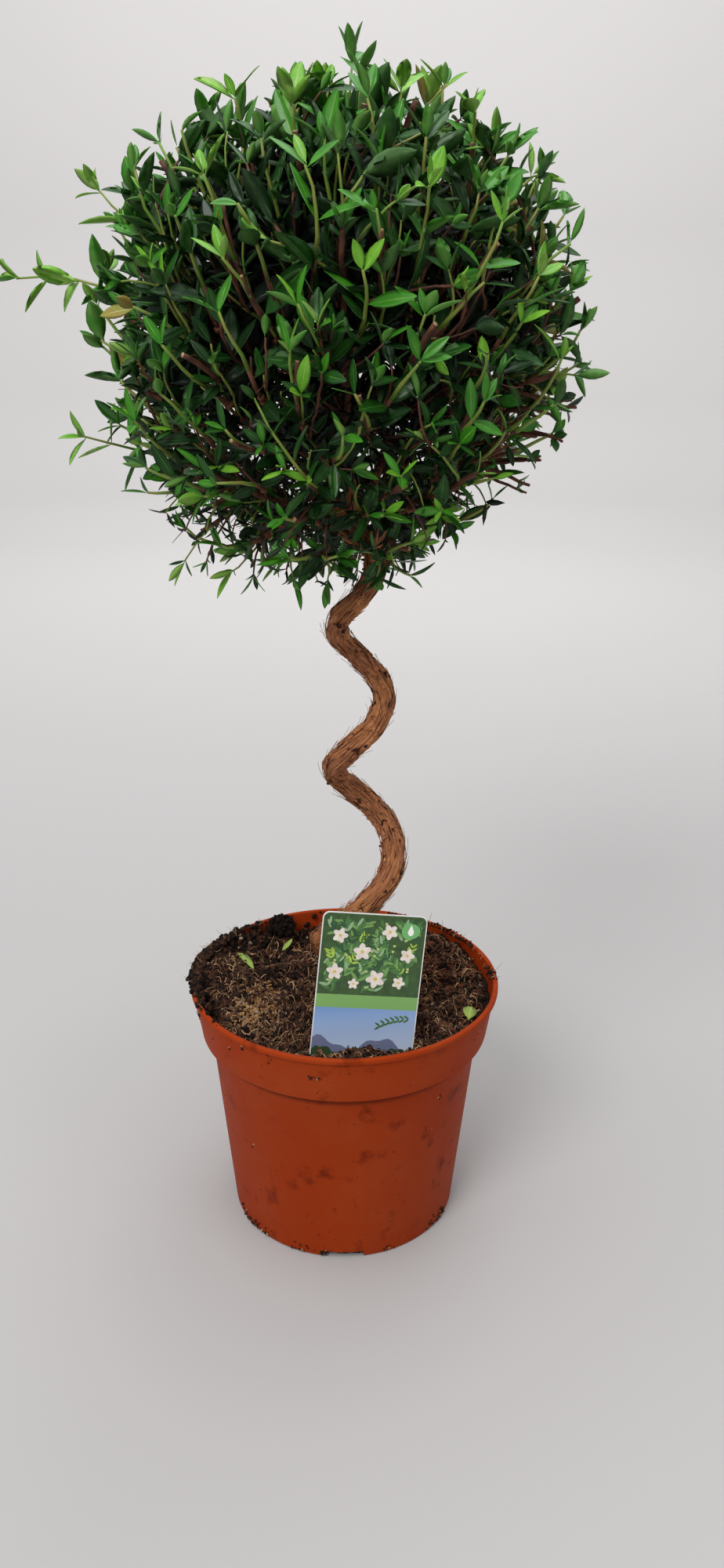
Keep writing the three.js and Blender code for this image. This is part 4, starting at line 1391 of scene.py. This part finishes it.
class Crumbs:
    """The loose bits of the compost by tone. Each method lays one kind, and they share one seed."""

    def __init__(self, template):
        self.rng = np.random.default_rng(SEEDS["crumbs"])
        self.template = template
        self.dark, self.brown, self.tan, self.pale, self.splinters = (Heap() for _ in range(5))

    def drop(self, heap, place, size, **form):
        """One bit into a heap."""
        lump_into(heap, self.template, place, size, self.rng, **form)

    def drop_clump(self, place, size):
        """One dark or brown bit, more often dark."""
        self.drop((self.dark, self.brown)[self.rng.choice(2, p=(0.6, 0.4))], place, size)

    def strew(self, count):
        """Crumbs of all tones: dry brown ones on the clods, damp dark ones in the pits between them."""
        rng = self.rng
        for _ in range(count):
            x, y = on_disc(SOIL_EDGE, rng)
            size = 0.35 + 2.1 * rng.uniform() ** 3.5
            dry = smoothstep(clod_ridge(x, y) + rng.normal(0, 0.1), -0.05, 0.35)
            shares = (0.88 - 0.6 * dry, 0.07 + 0.56 * dry, 0.03 + 0.02 * dry, 0.02 + 0.02 * dry)
            heap = (self.dark, self.brown, self.tan, self.pale)[rng.choice(4, p=shares)]
            if heap in (self.tan, self.pale):
                size *= 0.6
            self.drop(heap, np.array([x, y, rough_soil(x, y) + 0.3 * size]), size)

    def strew_granules(self, count):
        """A scatter of gold-brown granules at the left front, thick in its middle."""
        rng = self.rng
        for _ in range(count):
            x, y = rng.normal(-47, 8.5), rng.normal(-23, 13)
            if math.hypot(x, y) > SOIL_EDGE - 0.5 or y > 2:
                continue
            size = rng.uniform(0.3, 0.85)
            place = np.array([x, y, rough_soil(x, y) + rng.uniform(0.1, 0.9)])
            self.drop(self.tan if rng.uniform() < 0.8 else self.pale, place, size, stretch=(0.6, 1.6))

    def line_rim(self, count):
        """Crumbs along the rim: heaped at its left, thin at its back right, a few at its right."""
        rng = self.rng
        for _ in range(count):
            where = rng.choice(3, p=(0.84, 0.11, 0.05))
            towards = math.radians((rng.normal(170, 17), rng.uniform(25, 72), rng.normal(3, 3))[where])
            radius = rng.normal(RIM_MIDDLE - 0.4, 1.7)
            if abs(radius - RIM_MIDDLE) > 3.0:
                continue
            size = rng.uniform(0.35, 1.5) * (1 if where == 0 else 0.55)
            heaped = 2.2 * rng.uniform() * math.exp(-(((towards - 2.95) / 0.3) ** 2)) if where == 0 else 0
            place = around(towards, radius, POT["height"] + 0.3 * size + heaped)
            self.drop(self.dark if rng.uniform() < 0.5 else self.brown, place, size)

    def heap_rim(self, count):
        """Larger clumps that lie on the rim at its left."""
        rng = self.rng
        for _ in range(count):
            towards = math.radians(rng.normal(171, 13))
            size = rng.uniform(1.1, 2.3)
            radius = rng.uniform(80.5, 84.6)
            self.drop_clump(around(towards, radius, POT["height"] + 0.4 * size), size)

    def bank_wall(self, count, deep=10):
        """Compost banked up against the wall at the back left."""
        rng = self.rng
        for _ in range(count):
            towards = math.radians(rng.normal(152, 15))
            inward = deep * rng.uniform() ** 1.6
            place = around(towards, 80.2 - inward, 0)
            floor = rough_soil(place[0], place[1])
            bank = max(0.0, POT["height"] - 0.5 - floor) * (1 - inward / deep)
            place[2] = floor + bank * rng.uniform(0.3, 1.0)
            heap = (self.dark, self.brown, self.pale)[rng.choice(3, p=(0.5, 0.47, 0.03))]
            self.drop(heap, place, rng.uniform(0.5, 2.0))

    def strew_splinters(self, count):
        """Splinters of bark, most of them at the back right."""
        rng = self.rng
        for _ in range(count):
            x, y = rng.normal(46, 22), rng.normal(26, 26)
            if math.hypot(x, y) > SOIL_EDGE - 1 or rng.uniform() < 0.2:
                x, y = on_disc(SOIL_EDGE - 1.5, rng)
            place = np.array([x, y, rough_soil(x, y) + rng.uniform(0.4, 1.6)])
            shape = np.array([rng.uniform(1.6, 4.4), rng.uniform(0.45, 0.9), rng.uniform(0.25, 0.5)])
            self.drop(self.splinters, place, 1.0, shape=shape)

    def pile_clod(self, count):
        """The dark clod that stands at the back left."""
        rng = self.rng
        for _ in range(count):
            away = rng.normal(size=3)
            away *= rng.uniform(2, 7.6) / np.linalg.norm(away)
            place = np.array([-39.0, 60.5, 138.3]) + away * np.array([1.05, 0.9, 0.85])
            self.drop(self.dark, place, rng.uniform(0.8, 2.2))

    def hang_over_rim(self, count):
        """Clumps that hang over the rim at its left and still touch it."""
        rng = self.rng
        for _ in range(count):
            towards = math.radians(rng.normal(175, 7.5))
            size = rng.uniform(0.7, 1.8)
            radius = rng.uniform(83.5, POT["lip_radius"] + 0.75 * size)
            high = POT["height"] + rng.uniform(-1.6, 0.7 * size)
            self.drop_clump(around(towards, radius, high), size)

    def bank_stem(self, count, near=6.5, far=15):
        """Compost banked round the foot of the stem."""
        rng = self.rng
        foot = stem_point(STEM["foot"])
        for _ in range(count):
            towards, away = rng.uniform(0, TURN), rng.uniform(near, far)
            x, y = foot[0] + away * math.cos(towards), foot[1] + away * math.sin(towards)
            high = rough_soil(x, y) + 2.6 * (far - away) / (far - near) * rng.uniform()
            heap = (self.dark, self.brown)[rng.choice(2, p=(0.6, 0.4))]
            self.drop(heap, np.array([x, y, high]), rng.uniform(0.5, 1.5))


def build_crumbs(template):
    """All the loose bits of the compost, and the finish of each tone."""
    crumbs = Crumbs(template)
    crumbs.strew(5200)
    crumbs.strew_granules(1700)
    crumbs.line_rim(1700)
    crumbs.heap_rim(150)
    crumbs.bank_wall(1500)
    crumbs.strew_splinters(1700)
    crumbs.pile_clod(420)
    crumbs.hang_over_rim(170)
    crumbs.bank_stem(420)
    finishes = (
        (crumbs.splinters, "bark_splinters", peat("bark_splinter", "#3a2116", "#75492f", 3)),
        (crumbs.dark, "crumbs_dark", peat("peat_crumb", "#0b0604", "#21130c", 2)),
        (crumbs.brown, "crumbs_brown", peat("brown_crumb", "#22130b", "#4c3021", 2)),
        (crumbs.tan, "crumbs_tan", peat("bark_granule", "#795430", "#b48b5a", 2)),
        (crumbs.pale, "crumbs_pale", peat("pale_granule", "#80695a", "#b39c8a", 2)),
    )
    for heap, name, material in finishes:
        heap.piece(name, material, "compost", smooth=False)


# The two colours of each tone of fibre.
FIBRE_TONES = {"dark": ("#190e09", "#301c12"), "red": ("#42261a", "#6c432d"), "tan": ("#8a6643", "#bb966e")}


def build_fibres():
    """Peat fibres, curled and tangled in tufts over the crumbs, and a few long root hairs."""
    heaps = {tone: Heap() for tone in FIBRE_TONES}
    rng = np.random.default_rng(SEEDS["fibres"])
    tufts = [on_disc(SOIL_EDGE - 1.5, rng) for _ in range(230)]
    steps = 6
    for n in range(5200):
        tuft = tufts[n % len(tufts)]
        x, y = tuft[0] + rng.normal(0, 3.0), tuft[1] + rng.normal(0, 3.0)
        root_hair = n % 14 == 0
        length = rng.uniform(9, 22) if root_hair else rng.uniform(2.5, 9)
        heading = rng.uniform(0, TURN)
        bend = rng.uniform(-0.55, 0.55)
        hump = rng.uniform(0.2, 2.6)
        centres = []
        for i in range(steps + 1):
            heading += bend
            x += math.cos(heading) * length / steps
            y += math.sin(heading) * length / steps
            if math.hypot(x, y) > SOIL_EDGE - 0.2:
                break
            rise = hump * math.sin(math.pi * (i + 0.5) / steps)
            centres.append((x, y, rough_soil(x, y) + 0.8 + rise))
        if len(centres) < 4:
            continue
        thick = rng.uniform(0.1, 0.2) if root_hair else rng.uniform(0.16, 0.55)
        tone = ("dark", "red", "tan")[rng.choice(3, p=(0.37, 0.38, 0.25))]
        if root_hair and rng.uniform() < 0.6:
            tone = "tan"
        limb_into(heaps[tone], np.array(centres), taper(thick), 3)
    rim_hairs(heaps["tan"])
    for tone, (first, second) in FIBRE_TONES.items():
        material = plain(f"peat_fibre_{tone}", first, 0.85, second=second)
        heaps[tone].piece(f"fibres_{tone}", material, "compost")


def rim_hairs(heap):
    """Fibres that stand up from the debris on the rim, most at its left."""
    rng = np.random.default_rng(SEEDS["rim_hairs"])
    for n in range(90):
        towards = math.radians(rng.normal(168, 16) if n % 6 else rng.uniform(-6, 80))
        start = around(towards, rng.uniform(78, 84), POT["height"] + 0.3)
        way = around(towards, 1.0, rng.uniform(0.0, 1.2))
        way = unit(way + rng.normal(0, 0.7, 3) * np.array([1, 1, 0.3]))
        length = rng.uniform(2, 7)
        droop = rng.normal(0, 0.3, 3)
        centres = np.array([start + way * length * t + droop * length * t * t for t in np.linspace(0, 1, 6)])
        limb_into(heap, centres, taper(0.2), 3)


def build_fallen_leaves():
    """Three dropped leaves: a long one at the left, a curled one at the back, a round one at the right."""
    rows = []
    dropped = (
        # root, tip, width, curl
        ((-63, 33), (-52, 11), 5.5, -0.12),
        ((-38, 43), (-33, 53), 3.5, 0.3),
        ((66, -37), (68, -25), 8.5, 0.1),
    )
    upward = np.array([0.1, -0.25, 1.0])
    for first, last, width, curl in dropped:
        root = np.array([*first, rough_soil(*first) + 4.2])
        tip = np.array([*last, rough_soil(*last) + 4.8])
        along = unit(tip - root)
        face = unit(upward - along * np.dot(upward, along))
        rows.append((*root, *along, *face, float(np.linalg.norm(tip - root)), width, 0.45, curl))
    mesh = leaf_mesh("fallen_leaves", np.array(rows, dtype=float), OPEN_FORM)
    for name, colour in (("blade", "#7c9a3a"), ("rib", "#a9bb66"), ("under", "#8aa353")):
        mesh.materials.append(plain(f"fallen_leaf_{name}", colour, 0.5, patch_mm=4, second="#94a447"))
    piece_of(mesh, "leaves")


# Label

# How the print is set out, in millimetres from the card's middle line and up from its foot.
EDGE = LABEL["width"] / 2 - 0.5
TOP = LABEL["length"] - 0.5
PANEL_FOOT = 57
STRIPE_FOOT = 50
FAR_FOOT = 16
NEAR_FOOT = 14
# The ink of each print: its name and its one or two near colours.
INKS = {
    "print_ground": ("print_deep_green", "#2f4a26", "#3c5a2c"),
    "print_leaves_dark": ("print_dark_green", "#2c5230"),
    "print_leaves_mid": ("print_mid_green", "#47743c"),
    "print_leaves_light": ("print_light_green", "#6f9a52"),
    "print_leaves_lime": ("print_lime_green", "#a4c24a"),
    "print_leaves_mist": ("print_mist_green", "#8fae86"),
    "print_petals": ("print_cream", "#ece3d8", "#dccdc4"),
    "print_hearts": ("print_gold", "#d2bb55"),
    "print_buds": ("print_pale_green", "#b9c67e"),
    "print_band": ("print_band_green", "#79a85c"),
    "print_badge": ("print_badge_green", "#6fae6a"),
    "print_drop": ("print_white", "#f2f4ee"),
    "print_far_hills": ("print_violet_grey", "#6d7593"),
    "print_near_hills": ("print_hill_green", "#33492f"),
    "print_sprig": ("print_sprig_green", "#3f6b34"),
    "print_back_head": ("print_back_green", "#6f9a57"),
    "print_back_rules": ("print_grey", "#8d948b"),
    "print_back_marks": ("print_back_pale_green", "#b4c6a4"),
}
# Each blossom's middle and the length of its petals.
BLOSSOMS = [
    (-17, 88, 3.3), (-5, 80, 3.8), (8, 91, 3.4), (18, 79, 3.2), (-18, 69, 3.6), (3, 66, 4.0),
    (15, 64.5, 2.8), (-8, 63, 2.4),
]


def label_matrix():
    """From the card's own place, flat with its foot at the origin, to where it leans in the pot."""
    place = Matrix.Translation([c * MM for c in LABEL["foot"]]) @ Matrix.Rotation(LABEL["turn"], 4, "Z")
    upright = Matrix.Rotation(math.pi / 2 - LABEL["lean_back"], 4, "X")
    return place @ upright @ Matrix.Rotation(-LABEL["tilt"], 4, "Z")


def gloss_print(name, colour, second=None):
    """Offset print under a gloss varnish."""
    return plain(name, colour, 0.28, ior=1.5, patch_mm=3, second=second)


def printed(name, shapes, side=1, material=None):
    """Flat printed shapes, each an outline and a height above the card's front (side 1) or back (-1)."""
    points, faces = [], []
    for outline, height in shapes:
        start = len(points)
        level = side * (LABEL["thickness"] / 2 + height) * MM
        points.extend([(x * MM, y * MM, level) for x, y in outline])
        faces.append(tuple(range(start, start + len(outline)))[::side])
    mesh = face_mesh(name, points, faces, material or gloss_print(*INKS[name]), smooth=False)
    mesh.transform(label_matrix())
    piece_of(mesh, "label_card")


def oval(x, y, length, width, turn=0.0, points=10):
    """A leaf or petal shape, a little blunter at its root."""
    out = []
    c, s = math.cos(turn), math.sin(turn)
    for i in range(points):
        a = i / points * TURN
        u, v = length / 2 * math.cos(a), width / 2 * math.sin(a) * (1 if math.cos(a) < 0 else 0.85)
        out.append((x + u * c - v * s, y + u * s + v * c))
    return out


def box(x0, y0, x1, y1):
    """A rectangle from two opposite corners."""
    return [(x0, y0), (x1, y0), (x1, y1), (x0, y1)]


def rounded_panel(y0, radius=3.1):
    """A panel from a height to the card's top, with its two upper corners rounded."""
    points = [(-EDGE, y0), (EDGE, y0)]
    for cx, start in ((EDGE - radius, 0), (-EDGE + radius, 90)):
        points += arc((cx, TOP - radius), radius, start, start + 90, 6)
    return points


def cut_card():
    """The card: a plane with a pointed foot and two rounded upper corners, given its thickness."""
    deselect()
    bpy.ops.mesh.primitive_plane_add(size=1, location=(0, LABEL["length"] / 2 * MM, 0))
    card = bpy.context.object
    card.scale = (LABEL["width"] * MM, LABEL["length"] * MM, 1)
    settle(card, "label_card", plain("coated_card", "#e9e8e2", 0.3, ior=1.5, patch_mm=20, second="#dfe0da"))
    pick(card, "VERT", lambda corner: corner.co.y < 1 * MM)
    bpy.ops.mesh.subdivide()
    bpy.ops.object.mode_set(mode="OBJECT")
    pick(card, "VERT", lambda corner: corner.co.y < 1 * MM and abs(corner.co.x) > 1 * MM)
    bpy.ops.transform.translate(value=(0, LABEL["point"] * MM, 0))
    bpy.ops.object.mode_set(mode="OBJECT")
    pick(card, "VERT", lambda corner: corner.co.y > (LABEL["length"] - 1) * MM)
    bpy.ops.mesh.bevel(offset=LABEL["corner"] * MM, segments=6, affect="VERTICES")
    bpy.ops.mesh.select_all(action="SELECT")
    bpy.ops.mesh.extrude_region_move(TRANSFORM_OT_translate={"value": (0, 0, LABEL["thickness"] * MM)})
    bpy.ops.mesh.select_all(action="SELECT")
    bpy.ops.transform.translate(value=(0, 0, -LABEL["thickness"] / 2 * MM))
    end_edit()
    card.data.transform(label_matrix())
    belong(card, "label_card", "label")


def print_foliage(rng):
    """Sprays of seven pairs of leaves over the panel, in five greens, each leaf just above the last."""
    tones = {tone: [] for tone in ("dark", "mid", "light", "lime", "mist")}
    layer = 0.03
    for _ in range(52):
        x, y = rng.uniform(-EDGE + 2, EDGE - 2), rng.uniform(PANEL_FOOT + 1, TOP - 6)
        turn = rng.uniform(0.7, 2.4)
        young = rng.uniform() < 0.22
        for pair in range(7):
            px, py = x + math.cos(turn) * pair * 1.9, y + math.sin(turn) * pair * 1.9
            for side in (-1, 1):
                lean = turn + side * rng.uniform(0.5, 0.95)
                size = (5.4 - 0.4 * pair) * rng.uniform(0.85, 1.1)
                cx, cy = px + math.cos(lean) * size / 2, py + math.sin(lean) * size / 2
                if abs(cx) > EDGE - 2.9 or not PANEL_FOOT + 2.8 < cy < TOP - 3:
                    continue
                tone = ("dark", "mid", "light", "mist")[rng.choice(4, p=(0.32, 0.38, 0.2, 0.1))]
                if young and pair > 3:
                    tone = "lime"
                layer += 0.0003
                tones[tone].append((oval(cx, cy, size, size * 0.34, lean, 8), layer))
    for tone, shapes in tones.items():
        printed(f"print_leaves_{tone}", shapes)


def print_blossoms(rng):
    """Blossoms of five petals round a gold heart, and buds strewn between them."""
    petals, hearts, buds = [], [], []
    for n, (x, y, size) in enumerate(BLOSSOMS):
        for k in range(5):
            a = k / 5 * TURN + 0.4 * n
            cx, cy = x + math.cos(a) * size * 0.62, y + math.sin(a) * size * 0.62
            petals.append((oval(cx, cy, size * 1.25, size * 0.95, a), 0.28 + 0.002 * k + 0.012 * n))
        hearts.append((oval(x, y, size * 0.5, size * 0.5), 0.4))
    for n in range(22):
        x, y = rng.uniform(-EDGE + 3, EDGE - 3), rng.uniform(PANEL_FOOT + 3, TOP - 4)
        buds.append((oval(x, y, 1.5, 1.4, points=8), 0.24 + 0.001 * n))
    printed("print_petals", petals)
    printed("print_hearts", hearts)
    printed("print_buds", buds)


def print_landscape():
    """A plain stripe, a round badge with a drop in it, and under them sky, two rows of hills and a sprig."""
    printed("print_band", [(box(-EDGE, STRIPE_FOOT, EDGE, PANEL_FOOT), 0.03)])
    printed("print_badge", [(oval(18.5, 92, 9.5, 9.5, points=24), 0.42)])
    drop = [
        (18.5, 95.4), (17.1, 92.2), (17.0, 91.0), (17.7, 89.9), (18.5, 89.6), (19.3, 89.9), (20.0, 91.0),
        (19.9, 92.2),
    ]
    printed("print_drop", [(drop, 0.44)])
    printed("print_sky", [(box(-EDGE, NEAR_FOOT, EDGE, STRIPE_FOOT), 0.03)], material=sky_print())
    far, near = [(-EDGE, FAR_FOOT)], [(-EDGE, NEAR_FOOT)]
    for i in range(25):
        x = -EDGE + 2 * EDGE * i / 24
        far.append((x, 31 + 3.2 * math.sin(i * 0.42 + 1) + 1.2 * math.sin(i * 1.1)))
        near.append((x, 27.5 + 1.8 * math.sin(i * 0.7) + 0.8 * math.sin(i * 2.1)))
    printed("print_far_hills", [(far + [(EDGE, FAR_FOOT)], 0.06)])
    printed("print_near_hills", [(near + [(EDGE, NEAR_FOOT)], 0.09)])
    sprig = []
    for pair in range(7):
        for side in (-1, 1):
            x, y = 22 - pair * 2.4, 45.2 - 0.12 * pair * pair
            leaf = oval(x - 0.9, y + side * 1.0, 3.4, 1.2, math.pi + side * -0.6, 8)
            sprig.append((leaf, 0.06 + 0.004 * pair))
    printed("print_sprig", sprig)


def print_back():
    """The plain back of the card: a green head, two rules and three columns of soft leaf marks."""
    printed("print_back_head", [(rounded_panel(TOP - 13), 0.02)], side=-1)
    rules = [(box(-EDGE + 4, foot, EDGE - 4, foot + 0.6), 0.02) for foot in (77, 47)]
    printed("print_back_rules", rules, side=-1)
    marks = []
    for row in range(4):
        for x in (-13, 0, 13):
            y = 71.5 - 6.4 * row
            marks.append((oval(x - 1.6, y, 4.6, 1.9, 0.7), 0.02 + 0.001 * row))
            marks.append((oval(x + 1.6, y, 4.6, 1.9, math.pi - 0.7), 0.03 + 0.001 * row))
    printed("print_back_marks", marks, side=-1)


def build_label():
    """The card and its print, a generic plant picture with no words."""
    cut_card()
    rng = np.random.default_rng(SEEDS["print"])
    printed("print_ground", [(rounded_panel(PANEL_FOOT), 0.02)])
    print_foliage(rng)
    print_blossoms(rng)
    print_landscape()
    print_back()


# Stage

def build_stage():
    """A pale sweep that is floor and wall in one, soft air, and five lights."""
    deselect()
    top = 3200
    sweep = revolve([(2600, -0.1), (3300, 40), (3900, 320), (4200, 900), (4250, top)], 96, "studio_sweep")
    # The lid that closes the ring at the top is taken off, and the faces are turned to look inward.
    pick(sweep, "FACE", lambda face: face.center.z > (top - 100) * MM and abs(face.normal.z) > 0.9)
    bpy.ops.mesh.delete(type="FACE")
    bpy.ops.mesh.select_all(action="SELECT")
    bpy.ops.mesh.flip_normals()
    bpy.ops.object.mode_set(mode="OBJECT")
    settle(sweep, "studio_sweep", backdrop_paper())
    sweep.data.shade_smooth()
    sweep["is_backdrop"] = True
    world = bpy.data.worlds.new("studio_air")
    bpy.context.scene.world = world
    world.use_nodes = True
    air = world.node_tree.nodes["Background"]
    air.inputs["Color"].default_value = (0.95, 0.96, 1.0, 1)
    air.inputs["Strength"].default_value = 0.5
    area_light("key", (-1.2, -2.2, 2.5), (0, 0, 0.35), 1.5, 60)
    area_light("ceiling", (-0.2, -0.2, 3.0), (0, 0, 0.3), 2.4, 50)
    area_light("fill", (1.9, -1.3, 1.4), (0, 0, 0.35), 1.6, 5)
    area_light("crown", (0.4, 0.9, 2.3), (0, 0, 0.45), 1.1, 8)
    area_light("backdrop", (0, 1.6, 2.6), (0, 4.2, 1.3), 1.6, 90)


def area_light(name, place, target, size, watts):
    """A soft round light at a place, turned to its target, in metres."""
    light = bpy.data.lights.new(name, "AREA")
    light.shape = "DISK"
    light.size = size
    light.energy = watts
    lamp = bpy.data.objects.new(name, light)
    lamp.location = place
    lamp.rotation_euler = (Vector(target) - Vector(place)).to_track_quat("-Z", "Y").to_euler()
    bpy.context.scene.collection.objects.link(lamp)


def build_camera():
    """The view of the photograph: 20 degrees down, with the whole plant upright in the frame."""
    frame_height_px = 2000
    focal_px = 1502
    down, roll = math.radians(20.0), math.radians(0.53)
    camera = bpy.data.cameras.new("view")
    camera.sensor_width = 36
    camera.lens = focal_px / frame_height_px * camera.sensor_width
    camera.clip_start = 0.01
    eye = bpy.data.objects.new("view", camera)
    look = Matrix.Rotation(math.radians(90) - down, 4, "X") @ Matrix.Rotation(roll, 4, "Z")
    eye.matrix_world = Matrix.Translation((0.0086, -0.5797, 0.4632)) @ look
    bpy.context.scene.collection.objects.link(eye)
    bpy.context.scene.camera = eye
    bpy.context.scene.view_settings.view_transform = "Standard"


build_camera()
build_stage()
build_pot()
build_compost()
pebble = lump_template()
build_pot_dirt(pebble)
build_crumbs(pebble)
build_fibres()
build_fallen_leaves()
build_label()
build_wood()
bark_scars(pebble)
build_crown(pebble)
bpy.context.view_layer.update()

boxes = {"cad": CAD_BOX, "visual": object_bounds()}
{name: [[float(c) for c in corner] for corner in box] for name, box in boxes.items()}
